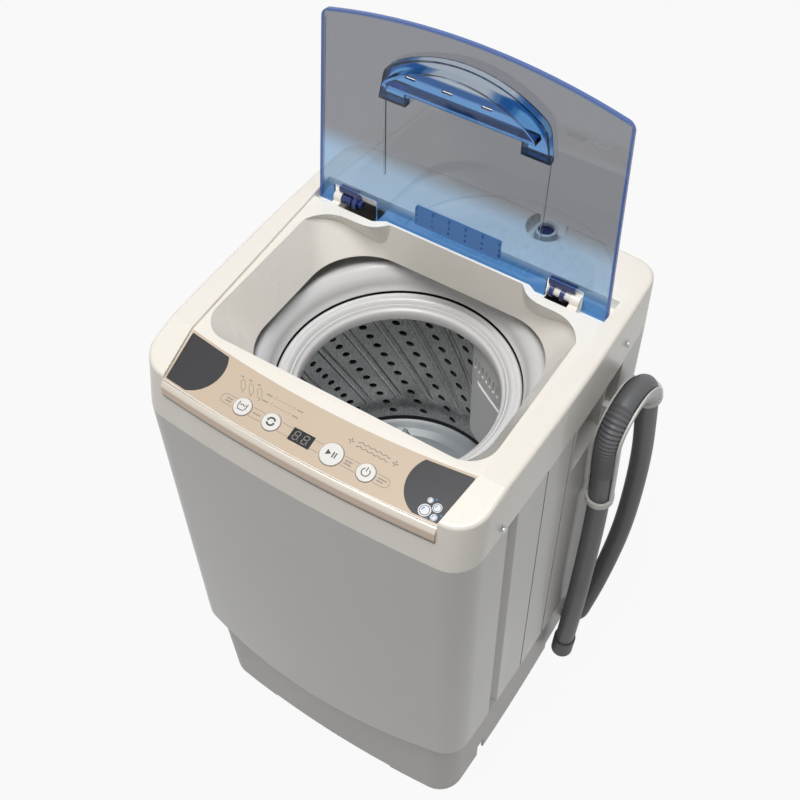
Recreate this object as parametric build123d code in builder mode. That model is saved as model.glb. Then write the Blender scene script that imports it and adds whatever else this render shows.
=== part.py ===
from build123d import *
import os
from math import asin, atan2, cos, degrees, hypot, pi, radians, sin, sqrt, tan

# Mini top-loading washing machine. Millimetres, +Z up, the front faces -Y and the hose is on the +X side.
# The origin is the middle of the footprint, on the floor.
os.makedirs("parts", exist_ok=True)

# Heights of the three casing parts
HEIGHT = 715.0
COVER_HEIGHT = 75.0
BASE_HEIGHT = 180.0
COVER_Z = HEIGHT - COVER_HEIGHT

# Casing seen from above: crowned sides and rear, bowed front
HALF_WIDTH = 212.0
COVER_DRAFT = 1.0
SIDE_CROWN = 5.0
REAR_Y = 225.0
REAR_CROWN = 9.0
TOP_FRONT_Y = -195.7
TOP_BOW = 12.0
JOINT_FRONT_Y = -209.5
JOINT_BOW = 11.0
FOOT_FRONT_Y = -225.0
FOOT_BOW = 29.0
FRONT_CORNER = 36.0
REAR_CORNER = 30.0
WALL = 3.0
COVER_EDGE_RADIUS = 5.0

# Base, set back under the cabinet
BASE_SET_BACK = 14.0
BASE_FRONT_Y = -200.7
BASE_FRONT_LEAN = 5.0
BASE_BOW = 12.0
BASE_CORNER = 26.0
BASE_FLANGE = 16.0
FLANGE_THICKNESS = 5.0
SKIRT_LIFT = 3.0
FLOOR_THICKNESS = 4.0
FRONT_ARCH_HALF = 100.0
FRONT_ARCH_RISE = 7.0
SIDE_NOTCH_Y = -116.0
SIDE_NOTCH_WIDTH = 16.0
SIDE_NOTCH_RISE = 32.0
HOSE_ARCH_Y = 84.0
HOSE_ARCH_RISE = 17.0
FOOT_INSET_X = 34.0
FOOT_INSET_Y = 42.0
FOOT_RADIUS = 17.0
FOOT_HEIGHT = 12.0
FOOT_BEVEL = 2.0
FOOT_TAPER = 3.0
FOOT_LUGS = 6
STUD_RADIUS = 5.0
STUD_LENGTH = 14.0

# Fits
RUNNING = 0.05
SEAT_GAP = 0.3
LOOSE = 0.5

# Sunken ledge for the lid and the sloping control panel in front of it
LEDGE_DEPTH = 4.5
LEDGE_Z = HEIGHT - LEDGE_DEPTH
LEDGE_HALF_FRONT = 177.5
LEDGE_HALF_REAR = 190.5
LEDGE_REAR_Y = 145.6
PANEL_BACK_Y = -128.0
PANEL_BACK_BOW = 12.0
PANEL_SLOPE = 11.0
PANEL_HALF_BACK = 176.5
PANEL_HALF_FRONT = 168.5
PANEL_SIDE_FRONT_Y = -190.0
PANEL_FRONT_Y = -197.4
PANEL_THICKNESS = 2.5
INSET_DEPTH = 0.8

# Trough behind the tub opening, where the lid hinges
TROUGH_FRONT_Y = 119.5
TROUGH_FLOOR_Z = LEDGE_Z - 10.5
HINGE_BAY_FRONT_Y = 111.0
HINGE_BAY_X = 108.0
HINGE_BAY_SLANT = 14.0
RIGHT_SLOT_X = 112.0
RIGHT_POST_X = 143.5
RIGHT_POST_WIDTH = 11.0
LEFT_SLOT_X = -109.0
LEFT_POST_X = -156.0
LEFT_POST_WIDTH = 10.0
POST_RADIUS = 7.0

# Funnel between the ledge and the tub
FUNNEL_TOP_HALF = 176.0
FUNNEL_TOP_FRONT_Y = -122.0
FUNNEL_TOP_CORNER = 34.0
FUNNEL_LOW_Z = COVER_Z + 15.0
FUNNEL_LOW_HALF_X = 150.0
FUNNEL_LOW_HALF_Y = 115.0
FUNNEL_LOW_CORNER = 70.0

# Wavy shelf in front of each hinge: points of its edge as (x, distance in front of the trough)
SHELF_WAVE = (
    (76.0, 0.0),
    (97.0, 13.0),
    (116.0, 19.5),
    (142.0, 20.5),
    (160.0, 27.5),
    (172.0, 40.0),
    (179.0, 54.0),
)
SHELF_DEPTH = 38.0
SHELF_LOW_SHARE = 0.2

# Lid, drawn in its open position, leaning back past the vertical
LID_TILT = 3.4
LID_PLATE = 3.0
LID_RIM = 1.0
LID_RIM_WIDTH = 5.0
LID_BACK_SIDE = 1.0
LID_INNER_SIDE = LID_PLATE + LID_RIM - LID_BACK_SIDE
HINGE_Y = 124.0
HINGE_Z = LEDGE_Z + LID_INNER_SIDE + SEAT_GAP
LID_TAIL = 11.0
LID_HALF_HINGE = 188.5
LID_HALF_FREE = 176.3
LID_CORNER_REACH = 239.5
LID_BOW = 22.5
LID_CORNER_RADIUS = 12.0
LID_NOTCH_TOP = 16.0
NOTCH_SIDE_GAP = 2.0

# Lid handle, an arched pocket on the inner face: a low tier with two legs and a high tier on it
HANDLE_LOW = 166.0
HANDLE_SIDE = 205.0
HANDLE_TOP = 237.0
HANDLE_HALF = 101.0
HANDLE_HALF_TOP = 94.0
HANDLE_SHOULDER = 22.0
HANDLE_LEG_X = 68.0
HANDLE_BAND_LOW = 181.0
HANDLE_BROW_LOW = 192.0
HANDLE_BROW_INSET = 7.0
HANDLE_STEP_DEPTH = 9.0
HANDLE_DEPTH = 22.0
HANDLE_WALL = 2.5
HANDLE_SLOT_X = (-55.0, -12.0, 33.0)
HANDLE_SLOT_Y = 213.0
HANDLE_SLOT_LENGTH = 12.0
HANDLE_SLOT_WIDTH = 3.0
LID_RIB_X = 98.0
LID_RIB_LOW = 62.0
LID_RIB_SIZE = 2.0
SLAT_HALF = 54.0
SLAT_LOW = 15.0
SLAT_PITCH = 7.8
SLAT_COUNT = 3
SLAT_DEPTH = 6.0
SLAT_DIVIDERS = 6
DIVIDER_WIDTH = 1.6
DIVIDER_DEPTH = 4.5

# Lid hinges
PIN_RADIUS = 5.5
PIN_LENGTH = 27.0
PIN_SEAT = 6.0
PIN_FLANGE_RADIUS = 7.0
PIN_FLANGE = 2.0
KNUCKLE_RADIUS = 8.0
KNUCKLE_WIDTH = 5.0
RIGHT_KNUCKLES = (118.0, 131.0)
LEFT_KNUCKLES = (-140.0,)
RIGHT_ARM_FOOT = (115.0, 147.0)
LEFT_ARM_FOOT = (-160.0, -135.0)
DAMPER_RADIUS = 6.5
DAMPER_LENGTH = 13.0
DAMPER_SHAFT = 4.0
DAMPER_SHAFT_LENGTH = 13.0
ARM_THICKNESS = 8.0
ARM_CLEAR = 2.5

# Controls
BUTTON_ROW_Y = -177.5
BUTTON_X = {
    "level_button": -74.0,
    "program_button": -37.5,
    "start_pause_button": 37.0,
    "power_button": 78.0,
}
BUTTON_RADIUS = 10.0
START_RADIUS = 12.5
BUTTON_RISE = 1.8
BUTTON_TRAVEL = 1.2
BUTTON_FLANGE = 0.8
DISPLAY_WIDTH = 26.0
DISPLAY_DEPTH = 15.0
WINDOW_HALF = 94.0
WINDOW_BACK_Y = -160.0
WINDOW_FRONT_Y = -192.0
BOARD_DEPTH = 9.0
BOARD_THICKNESS = 1.6
BOARD_HALF_DEPTH = 13.0
SWITCH_SIZE = 6.0
SWITCH_Z = -6.5
TRAY_DEPTH = 18.0
TRAY_HALF_DEPTH = 16.0
TRAY_WALL = 1.6
INSET_BACK = (122.0, -137.0)
INSET_SIDE = (116.0, -163.0)
INSET_FRONT = (140.0, -190.5)
INSET_EDGE = 1.5

# Trim strip along the front edge
TRIM_HEIGHT = 12.5
TRIM_SEAT = 1.5
TRIM_PROUD = TRIM_HEIGHT / 2 - TRIM_SEAT

# Water inlet on the rear deck, for a standard 3/4 inch hose nut
INLET_X = 68.0
INLET_Y = 206.0
INLET_RADIUS = 13.2
INLET_BORE = 9.5
INLET_RISE = 19.0
INLET_RECESS_RADIUS = 24.0
INLET_RECESS_DEPTH = 22.0
INLET_FLANGE = 3.0
VALVE_HEIGHT = 34.0
VALVE_WIDTH = 34.0
VALVE_LENGTH = 26.0
SPOUT_HALF_WIDTH = 15.0
SPOUT_FRONT_Y = 124.0
SPOUT_MOUTH = 18.0
SPOUT_MOUTH_Z = COVER_Z + 6.0
SPOUT_WALL = 2.0

# Water level sensor under the rear deck
SENSOR_X = -110.0
SENSOR_Y = 186.0
SENSOR_RADIUS = 22.0
SENSOR_HEIGHT = 14.0

# Strain relief of the power cord in the rear wall of the base
GLAND_X = -120.0
GLAND_Z = 120.0
GLAND_RADIUS = 8.0
GLAND_PROUD = 8.0

# Cabinet sides
FLUTE_FRONT_Y = -122.0
FLUTE_DEPTH = 11.0
FLUTE_FLOOR = 11.0
FLUTE_FOOT_Z = 176.0
SCOOP_RISE = 16.0
GROOVE_Y = (-41.0, 17.0)
GROOVE_WIDTH = 3.0
GROOVE_DEPTH = 1.6
CHANNEL_FRONT_Y = 89.0
CHANNEL_REAR_Y = 150.0
CHANNEL_TOP_Z = 483.0
CHANNEL_DEPTH = 8.0
GRIP_FRONT_Y = 25.0
GRIP_REAR_Y = 135.0
GRIP_LOW_Z = COVER_Z - 80.0
GRIP_ROOF = 4.0
GRIP_DEPTH = 25.0
GRIP_FLOOR_RISE = 15.0
GRIP_DIVIDER_Y = 96.0

# Rear service opening
SERVICE_HALF = 146.0
SERVICE_LOW_Z = BASE_HEIGHT + 26.0
SERVICE_HIGH_Z = COVER_Z - 42.0
SERVICE_LIP = 10.0
SERVICE_CORNER = 20.0
VENT_COUNT = 9
VENT_PITCH = 14.0
VENT_LENGTH = 150.0
VENT_WIDTH = 5.0
VENT_Z = (SERVICE_LOW_Z + SERVICE_HIGH_Z) / 2 - 60.0

# Tub, drum and pulsator, all on one upright axis
AXIS_Y = -3.5
DRUM_RADIUS = 140.0
MOUTH_GAP = 1.0
TUB_GAP = 23.0
RING_DROP = 8.0
RING_TOP = COVER_Z - RING_DROP
RING_MOUTH = DRUM_RADIUS + MOUTH_GAP
TUB_RADIUS = DRUM_RADIUS + TUB_GAP
TUB_WALL = 3.0
TUB_HEIGHT = 285.0
TUB_TOP = RING_TOP - 7.0
TUB_BOTTOM = TUB_TOP - TUB_HEIGHT
DRUM_WALL = 1.0
DRUM_CORNER = 8.0
DRUM_TOP = TUB_TOP - 22.0
DRUM_FLOOR_GAP = 12.0
DRUM_BOTTOM = TUB_BOTTOM + DRUM_FLOOR_GAP
BALANCE_WIDTH = 23.0
BALANCE_MOUTH = DRUM_RADIUS - BALANCE_WIDTH
BALANCE_HEIGHT = 20.0
BALANCE_LIP = 4.0
BALANCE_ROUND = 3.0
PULSATOR_RADIUS = BALANCE_MOUTH - MOUTH_GAP
PULSATOR_GAP = 3.0
PULSATOR_VANES = 6
PULSATOR_RIM = 9.0
PULSATOR_CAP = 24.0
PULSATOR_RISE = 30.0
VANE_MIDDLE = PULSATOR_RADIUS / 2 + PULSATOR_CAP / 3
VANE_LENGTH = PULSATOR_RADIUS - PULSATOR_CAP
VANE_WIDTH = 16.0
VANE_RISE = 16.0
VANE_TAPER = 18.0
SHAFT_RADIUS = 6.0
HUB_RADIUS = 60.0
HUB_FLANGE = 3.0
SPIN_SHAFT_RADIUS = 12.0
SPIN_SHAFT_LOW_Z = TUB_BOTTOM - 22.0
SEAL_RADIUS = 18.0

# Drive under the tub
FRAME_THICKNESS = 3.0
FRAME_HUB = 78.0
ARM_WIDTH = 34.0
GEARBOX_RADIUS = 45.0
GEARBOX_HEIGHT = 75.0
PULLEY_RADIUS = 52.0
PULLEY_HEIGHT = 14.0
PULLEY_DROP = 10.0
MOTOR_X = 98.0
MOTOR_Y = -70.0
MOTOR_RADIUS = 42.0
MOTOR_HEIGHT = 66.0
MOTOR_ROUND = 4.0
MOTOR_PULLEY_RADIUS = 16.0
MOTOR_SHAFT = 5.0
BELT_THICKNESS = 4.0
BELT_WIDTH = 8.0
RIM = 3.0
INPUT_SHAFT_DEPTH = 14.0

# Suspension rods in the four corners
ROD_INSET_X = 42.0
ROD_FRONT_INSET = 51.5
ROD_REAR_INSET = 67.0
ROD_RADIUS = 4.0
ROD_SEAT_Z = COVER_Z - 28.0
ROD_SEAT_THICKNESS = 6.0
ROD_HEAD = 9.0
ROD_FOOT_DROP = 90.0
ROD_FOOT_RADIUS = 14.0
ROD_FOOT_HEIGHT = 8.0
CUP_RADIUS = 17.0
CUP_HEIGHT = 10.0
CUP_TAPER = 15.0
SPRING_RADIUS = 12.0
SPRING_WALL = 2.5

# Lint filter inside the drum
FILTER_ANGLE = 60.0
FILTER_WIDTH = 88.0
FILTER_HEIGHT = 190.0
FILTER_THICKNESS = 9.0
FILTER_CORNER = 12.0
FILTER_EDGE = 3.5
FILTER_TOP_GAP = 5.0
FILTER_SLOTS = 9
FILTER_SLOT_WIDTH = 4.0
FILTER_SLOT_HEIGHT = 20.0
FILTER_SLOT_Z = 147.0
FILTER_SLOT_DEPTH = 5.0
FILTER_GRIP_WIDTH = 58.0
FILTER_GRIP_HEIGHT = 13.0
FILTER_GRIP_Z = 120.0
FILTER_GRIP_DEPTH = 2.0
FILTER_BACK = sqrt((DRUM_RADIUS - SEAT_GAP) ** 2 - (FILTER_WIDTH / 2) ** 2)
FILTER_LOW_Z = DRUM_TOP - BALANCE_HEIGHT - FILTER_TOP_GAP - FILTER_HEIGHT

# Drain: valve under the tub, bellows, pipe through the base and the hose outside
DRAIN_X = 128.0
DRAIN_Y = 0.0
DRAIN_VALVE_RADIUS = 22.0
DRAIN_VALVE_HEIGHT = 42.0
BELLOWS_RADIUS = 17.0
BELLOWS_WALL = 2.5
BELLOWS_LOW_Z = 80.0
PIPE_RADIUS = 13.5
PIPE_BORE = 10.0
PIPE_Z = 34.0
PIPE_EXIT_Y = 144.0
PIPE_INNER_X = 150.0
PIPE_BEND = 20.0
PIPE_ELBOW = 16.0
PIPE_STAND_OFF = 4.5
PIPE_RISER = 20.0
OUTLET_RUN = 38.0
NIPPLE_LENGTH = 14.0
HOSE_RADIUS = 13.5
HOSE_WALL = 2.5
HOSE_BORE = HOSE_RADIUS - HOSE_WALL
RIB_RISE = 0.9
RIB_DIP = 0.7
RIB_CREST = HOSE_RADIUS + RIB_RISE
RIB_VALLEY = HOSE_RADIUS - RIB_DIP
RIB_PITCH = 4.8
RIB_COUNT = 25
RIBS_START = 52.0
RIB_PROFILE = ((0.0, RIB_VALLEY), (0.25, RIB_VALLEY), (0.45, RIB_CREST), (0.8, RIB_CREST))
LEAD_IN_STEPS = 8
LEAD_OUT_STEPS = 14
BEND_OUT = 20.0
BEND_X = HALF_WIDTH + BEND_OUT
BEND_SLANT = 0.04
BEND_Y = 86.0
BEND_CUT_BEFORE = 0.53
BEND_CUT_AFTER = 0.4
ARC_SHARE = 0.45
CUFF_WALL = 2.1
CUFF_RADIUS = HOSE_RADIUS + CUFF_WALL
CUFF_LENGTH = 42.0
CUFF_BEVEL = 1.0
GUIDE_WALL = 2.0
GUIDE_GAP = 0.4
GUIDE_LIP = 4.0
GUIDE_RING = 9.0
COLLAR_PROUD = 1.0
COLLAR_GRIP = 0.5
CLIP_WIDTH = 9.0
CLIP_Z = COVER_Z - 40.0

# Derived places used by several parts
FAR = 2 * HALF_WIDTH
COVER_SECTIONS = (
    (COVER_Z, HALF_WIDTH, JOINT_FRONT_Y, JOINT_BOW, REAR_Y),
    (HEIGHT, HALF_WIDTH - COVER_DRAFT, TOP_FRONT_Y, TOP_BOW, REAR_Y - COVER_DRAFT),
)
CABINET_SECTIONS = (
    (BASE_HEIGHT, HALF_WIDTH, FOOT_FRONT_Y, FOOT_BOW, REAR_Y),
    (COVER_Z, HALF_WIDTH, JOINT_FRONT_Y, JOINT_BOW, REAR_Y),
)
BASE_HALF = HALF_WIDTH - BASE_SET_BACK
BASE_REAR_Y = REAR_Y - BASE_SET_BACK
BASE_SECTIONS = (
    (SKIRT_LIFT, BASE_HALF, BASE_FRONT_Y, BASE_BOW, BASE_REAR_Y),
    (BASE_HEIGHT, BASE_HALF + 1.0, BASE_FRONT_Y - BASE_FRONT_LEAN, BASE_BOW, BASE_REAR_Y),
)
ROD_PLACES = [
    (side * (HALF_WIDTH - ROD_INSET_X), y)
    for y in (JOINT_FRONT_Y + ROD_FRONT_INSET, REAR_Y - ROD_REAR_INSET)
    for side in (-1, 1)
]
AXIS = Plane.XY.move(Location((0, AXIS_Y, 0)))


def casing_outline(section, inset=0.0):
    """Outline of the casing seen from above, drawn inset inside its section."""
    _, half_width, front_y, bow, rear_y = section
    corner_x = half_width - inset - SIDE_CROWN
    front = front_y + inset
    rear = rear_y - inset
    side_front = front + bow
    side_rear = rear - REAR_CROWN
    with BuildSketch() as outline:
        with BuildLine():
            ThreePointArc((-corner_x, side_front), (0, front), (corner_x, side_front))
            ThreePointArc((corner_x, side_front), (half_width - inset, 0), (corner_x, side_rear))
            ThreePointArc((corner_x, side_rear), (0, rear), (-corner_x, side_rear))
            ThreePointArc((-corner_x, side_rear), (inset - half_width, 0), (-corner_x, side_front))
        make_face()
        fillet(outline.vertices().group_by(Axis.Y)[0], FRONT_CORNER - inset)
        fillet(outline.vertices().group_by(Axis.Y)[-1], REAR_CORNER - inset)
    return outline.sketch


def casing(sections, inset=0.0):
    """Solid block between two outlines, drawn inset inside them."""
    with BuildPart() as block:
        for section in sections:
            with BuildSketch(Plane.XY.offset(section[0])):
                add(casing_outline(section, inset))
        loft()
    return block.part


def box_between(low, high):
    """Block between two opposite corners."""
    with BuildPart() as block:
        with Locations([tuple((a + b) / 2 for a, b in zip(low, high))]):
            Box(*(b - a for a, b in zip(low, high)))
    return block.part


def panel_z(y):
    """Height of the sloping panel surface in front of the lid ledge."""
    return LEDGE_Z + (y - PANEL_BACK_Y) * tan(radians(PANEL_SLOPE))


def space_above(raised):
    """All that lies above the lid ledge and the sloping panel, raised by the given height."""
    with BuildPart() as space:
        with BuildSketch(Plane.YZ.offset(-FAR)):
            with BuildLine():
                Polyline(
                    (FAR, HEIGHT + FAR),
                    (FAR, LEDGE_Z + raised),
                    (PANEL_BACK_Y, LEDGE_Z + raised),
                    (-FAR, panel_z(-FAR) + raised),
                    (-FAR, HEIGHT + FAR),
                    close=True,
                )
            make_face()
        extrude(amount=2 * FAR)
    return space.part


def both_sides(solid):
    """The solid and its mirror image on the other side of the machine."""
    return [solid, mirror(solid, about=Plane.YZ)]


# Base: a hollow plinth with a floor in each corner for the feet
corner_x = BASE_HALF - 2 * FOOT_INSET_X
corner_front_y = BASE_FRONT_Y + 2 * FOOT_INSET_Y
corner_rear_y = BASE_REAR_Y - 2 * FOOT_INSET_Y
floor_top = FOOT_HEIGHT + FLOOR_THICKNESS
base_corners = [
    box_between((low_x, low_y, FOOT_HEIGHT), (high_x, high_y, floor_top))
    for low_x, high_x in ((-FAR, -corner_x), (corner_x, FAR))
    for low_y, high_y in ((-FAR, corner_front_y), (corner_rear_y, FAR))
]
FOOT_PLACES = [
    (sx * (BASE_HALF - FOOT_INSET_X), y)
    for y in (BASE_FRONT_Y + FOOT_INSET_Y, BASE_REAR_Y - FOOT_INSET_Y)
    for sx in (-1, 1)
]
with BuildPart() as base_core:
    add(casing(BASE_SECTIONS, WALL))
    add(base_corners, mode=Mode.SUBTRACT)
    with BuildSketch(Plane.XY.offset(BASE_HEIGHT - FLANGE_THICKNESS)):
        add(casing_outline(BASE_SECTIONS[1], 0))
        add(casing_outline(BASE_SECTIONS[1], BASE_FLANGE), mode=Mode.SUBTRACT)
    extrude(amount=2 * FLANGE_THICKNESS, mode=Mode.SUBTRACT)

with BuildPart() as base:
    add(casing(BASE_SECTIONS))
    add(base_core.part, mode=Mode.SUBTRACT)
    add(
        box_between(
            (-FRONT_ARCH_HALF, -FAR, 0),
            (FRONT_ARCH_HALF, FOOT_INSET_Y - HALF_WIDTH, FRONT_ARCH_RISE),
        ),
        mode=Mode.SUBTRACT,
    )
    add(
        both_sides(
            box_between(
                (BASE_HALF - 2 * WALL - SIDE_CROWN, SIDE_NOTCH_Y, 0),
                (FAR, SIDE_NOTCH_Y + SIDE_NOTCH_WIDTH, SIDE_NOTCH_RISE),
            )
        ),
        mode=Mode.SUBTRACT,
    )
    add(
        box_between(
            (BASE_HALF - 2 * WALL - SIDE_CROWN, HOSE_ARCH_Y, 0),
            (FAR, BASE_REAR_Y - BASE_CORNER, HOSE_ARCH_RISE),
        ),
        mode=Mode.SUBTRACT,
    )
    with Locations([(x, y, FOOT_HEIGHT) for x, y in FOOT_PLACES]):
        Cylinder(STUD_RADIUS + RUNNING, 4 * FLOOR_THICKNESS, mode=Mode.SUBTRACT)
    with BuildSketch(Plane.YZ.offset(BASE_HALF - 4 * WALL)):
        with Locations((PIPE_EXIT_Y, PIPE_Z)):
            Circle(PIPE_RADIUS)
    extrude(amount=8 * WALL, mode=Mode.SUBTRACT)
    with BuildSketch(Plane.XZ.offset(-BASE_REAR_Y - WALL)):
        with Locations((GLAND_X, GLAND_Z)):
            Circle(GLAND_RADIUS)
    extrude(amount=8 * WALL, mode=Mode.SUBTRACT)
base.part.label = "base"
export_step(base.part, "parts/base.step")

# Feet: three fixed ones and, at the front left, one that screws up and down
with BuildPart() as foot_form:
    with BuildSketch(Plane.XZ):
        with BuildLine():
            Polyline(
                (0, 0),
                (FOOT_RADIUS - FOOT_BEVEL, 0),
                (FOOT_RADIUS, FOOT_BEVEL),
                (FOOT_RADIUS - FOOT_TAPER, FOOT_HEIGHT),
                (STUD_RADIUS, FOOT_HEIGHT),
                (STUD_RADIUS, FOOT_HEIGHT + STUD_LENGTH),
                (0, FOOT_HEIGHT + STUD_LENGTH),
                close=True,
            )
        make_face()
    revolve(axis=Axis.Z)

with BuildPart() as fixed_feet:
    for x, y in FOOT_PLACES[1:]:
        add(foot_form.part.moved(Location((x, y, 0))))
fixed_feet.part.label = "fixed_feet"
export_step(fixed_feet.part, "parts/fixed_feet.step")

with BuildPart() as levelling_foot:
    add(foot_form.part.moved(Location((*FOOT_PLACES[0], 0))))
    with BuildSketch(Plane.XY.offset(FOOT_HEIGHT / 3)):
        with PolarLocations(FOOT_RADIUS, FOOT_LUGS):
            Circle(FOOT_HEIGHT / 6)
levelling_foot.part.label = "levelling_foot"
export_step(levelling_foot.part, "parts/levelling_foot.step")

# Cabinet: one moulding for the front and both sides, open at the back
with BuildPart() as side_cuts:
    with BuildSketch(Plane.XY.offset(FLUTE_FOOT_Z)):
        with BuildLine():
            Polyline(
                (HALF_WIDTH + WALL, FLUTE_FRONT_Y),
                (HALF_WIDTH - FLUTE_DEPTH, FLUTE_FRONT_Y),
                (HALF_WIDTH - FLUTE_DEPTH, FLUTE_FRONT_Y + FLUTE_FLOOR),
                (HALF_WIDTH + WALL, FLUTE_FRONT_Y + FLUTE_FLOOR + FLUTE_DEPTH + WALL),
                close=True,
            )
        make_face()
    extrude(amount=COVER_Z - FLUTE_FOOT_Z)
    with BuildSketch(Plane.XY.offset(FLUTE_FOOT_Z)):
        with Locations([(HALF_WIDTH - GROOVE_DEPTH / 2 + WALL / 2, y) for y in GROOVE_Y]):
            Rectangle(GROOVE_DEPTH + WALL, GROOVE_WIDTH)
    extrude(amount=COVER_Z - FLUTE_FOOT_Z)
    with BuildSketch(Plane.XZ.offset(-FAR)):
        with BuildLine():
            Polyline(
                (HALF_WIDTH - FLUTE_DEPTH, FLUTE_FOOT_Z - 1),
                (HALF_WIDTH + WALL, FLUTE_FOOT_Z - 1),
                (HALF_WIDTH - FLUTE_DEPTH, FLUTE_FOOT_Z + SCOOP_RISE),
                close=True,
            )
        make_face()
    extrude(amount=2 * FAR, mode=Mode.SUBTRACT)
    with BuildSketch(Plane.XZ.offset(-GRIP_REAR_Y)):
        with BuildLine():
            Polyline(
                (HALF_WIDTH + WALL, GRIP_LOW_Z - WALL),
                (HALF_WIDTH - GRIP_DEPTH, GRIP_LOW_Z + GRIP_FLOOR_RISE),
                (HALF_WIDTH - GRIP_DEPTH, COVER_Z - GRIP_ROOF),
                (HALF_WIDTH + WALL, COVER_Z - GRIP_ROOF),
                close=True,
            )
        make_face()
    extrude(amount=GRIP_REAR_Y - GRIP_FRONT_Y)
    add(
        box_between(
            (HALF_WIDTH - GRIP_DEPTH, GRIP_DIVIDER_Y, GRIP_LOW_Z - WALL),
            (HALF_WIDTH - WALL, GRIP_DIVIDER_Y + WALL, COVER_Z),
        ),
        mode=Mode.SUBTRACT,
    )

with BuildPart() as side_pads:
    add(
        box_between(
            (HALF_WIDTH - FLUTE_DEPTH - WALL, FLUTE_FRONT_Y - WALL, BASE_HEIGHT),
            (HALF_WIDTH, FLUTE_FRONT_Y + FLUTE_FLOOR + FLUTE_DEPTH + WALL, COVER_Z),
        )
    )
    add(
        box_between(
            (HALF_WIDTH - GRIP_DEPTH - WALL, GRIP_FRONT_Y - WALL, GRIP_LOW_Z - WALL),
            (HALF_WIDTH, GRIP_REAR_Y + WALL, COVER_Z),
        )
    )

with BuildPart() as hose_channel:
    with BuildSketch(Plane.YZ.offset(HALF_WIDTH - CHANNEL_DEPTH)):
        channel_half = (CHANNEL_REAR_Y - CHANNEL_FRONT_Y) / 2
        with Locations((CHANNEL_FRONT_Y + channel_half, (FLUTE_FOOT_Z + CHANNEL_TOP_Z - channel_half) / 2)):
            Rectangle(2 * channel_half, CHANNEL_TOP_Z - channel_half - FLUTE_FOOT_Z)
        with Locations((CHANNEL_FRONT_Y + channel_half, CHANNEL_TOP_Z - channel_half)):
            Circle(channel_half)
    extrude(amount=CHANNEL_DEPTH + WALL)

channel_pad = box_between(
    (HALF_WIDTH - CHANNEL_DEPTH - WALL, CHANNEL_FRONT_Y - WALL, BASE_HEIGHT),
    (HALF_WIDTH, CHANNEL_REAR_Y + WALL, CHANNEL_TOP_Z + WALL),
)
bracket_x = ROD_PLACES[-1][0] - CUP_RADIUS
bracket_front_y = ROD_PLACES[0][1] + CUP_RADIUS
bracket_rear_y = ROD_PLACES[-1][1] - CUP_RADIUS
rod_brackets = [
    box_between((low_x, low_y, ROD_SEAT_Z - ROD_SEAT_THICKNESS), (high_x, high_y, ROD_SEAT_Z))
    for low_x, high_x in ((-FAR, -bracket_x), (bracket_x, FAR))
    for low_y, high_y in ((-FAR, bracket_front_y), (bracket_rear_y, FAR))
]


def service_block(grow):
    """Upright block with rounded corners over the rear service opening, grown on every side."""
    with BuildPart() as block:
        with BuildSketch(Plane.XZ):
            with Locations((0, (SERVICE_LOW_Z + SERVICE_HIGH_Z) / 2)):
                RectangleRounded(
                    2 * (SERVICE_HALF + grow),
                    SERVICE_HIGH_Z - SERVICE_LOW_Z + 2 * grow,
                    SERVICE_CORNER + grow,
                )
        extrude(amount=-FAR)
    return block.part


with BuildPart() as service_lip:
    add(service_block(SERVICE_LIP))
    add(service_block(-SERVICE_LIP), mode=Mode.SUBTRACT)
    add(casing(CABINET_SECTIONS, 2 * WALL), mode=Mode.SUBTRACT)

with BuildPart() as cabinet_core:
    add(casing(CABINET_SECTIONS, WALL))
    add(both_sides(side_pads.part), mode=Mode.SUBTRACT)
    add(channel_pad, mode=Mode.SUBTRACT)
    add(rod_brackets, mode=Mode.SUBTRACT)
    add(service_lip.part, mode=Mode.SUBTRACT)
    with BuildSketch(Plane.XY.offset(BASE_HEIGHT)):
        add(casing_outline(CABINET_SECTIONS[0]))
        add(casing_outline(BASE_SECTIONS[1], BASE_FLANGE), mode=Mode.SUBTRACT)
    extrude(amount=WALL, mode=Mode.SUBTRACT)

with BuildPart() as cabinet_skin:
    add(service_block(0))
    add(casing(CABINET_SECTIONS, WALL), mode=Mode.SUBTRACT)

with BuildPart() as cabinet:
    add(casing(CABINET_SECTIONS))
    add(cabinet_core.part, mode=Mode.SUBTRACT)
    add(both_sides(side_cuts.part), mode=Mode.SUBTRACT)
    add(hose_channel.part, mode=Mode.SUBTRACT)
    add(cabinet_skin.part, mode=Mode.SUBTRACT)
    add(service_block(-SERVICE_LIP), mode=Mode.SUBTRACT)
    with Locations([(x, y, ROD_SEAT_Z) for x, y in ROD_PLACES]):
        Cylinder(ROD_RADIUS + LOOSE, 4 * ROD_SEAT_THICKNESS, mode=Mode.SUBTRACT)
cabinet.part.label = "cabinet"
export_step(cabinet.part, "parts/cabinet.step")

with BuildPart() as rear_service_cover:
    add(service_block(-LOOSE))
    add(casing(CABINET_SECTIONS), mode=Mode.INTERSECT)
    add(casing(CABINET_SECTIONS, WALL), mode=Mode.SUBTRACT)
    with BuildSketch(Plane.XZ.offset(-REAR_Y - WALL)):
        with GridLocations(0, VENT_PITCH, 1, VENT_COUNT):
            with Locations((0, VENT_Z)):
                SlotOverall(VENT_LENGTH, VENT_WIDTH)
    extrude(amount=4 * WALL, mode=Mode.SUBTRACT)
rear_service_cover.part.label = "rear_service_cover"
export_step(rear_service_cover.part, "parts/rear_service_cover.step")


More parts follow.
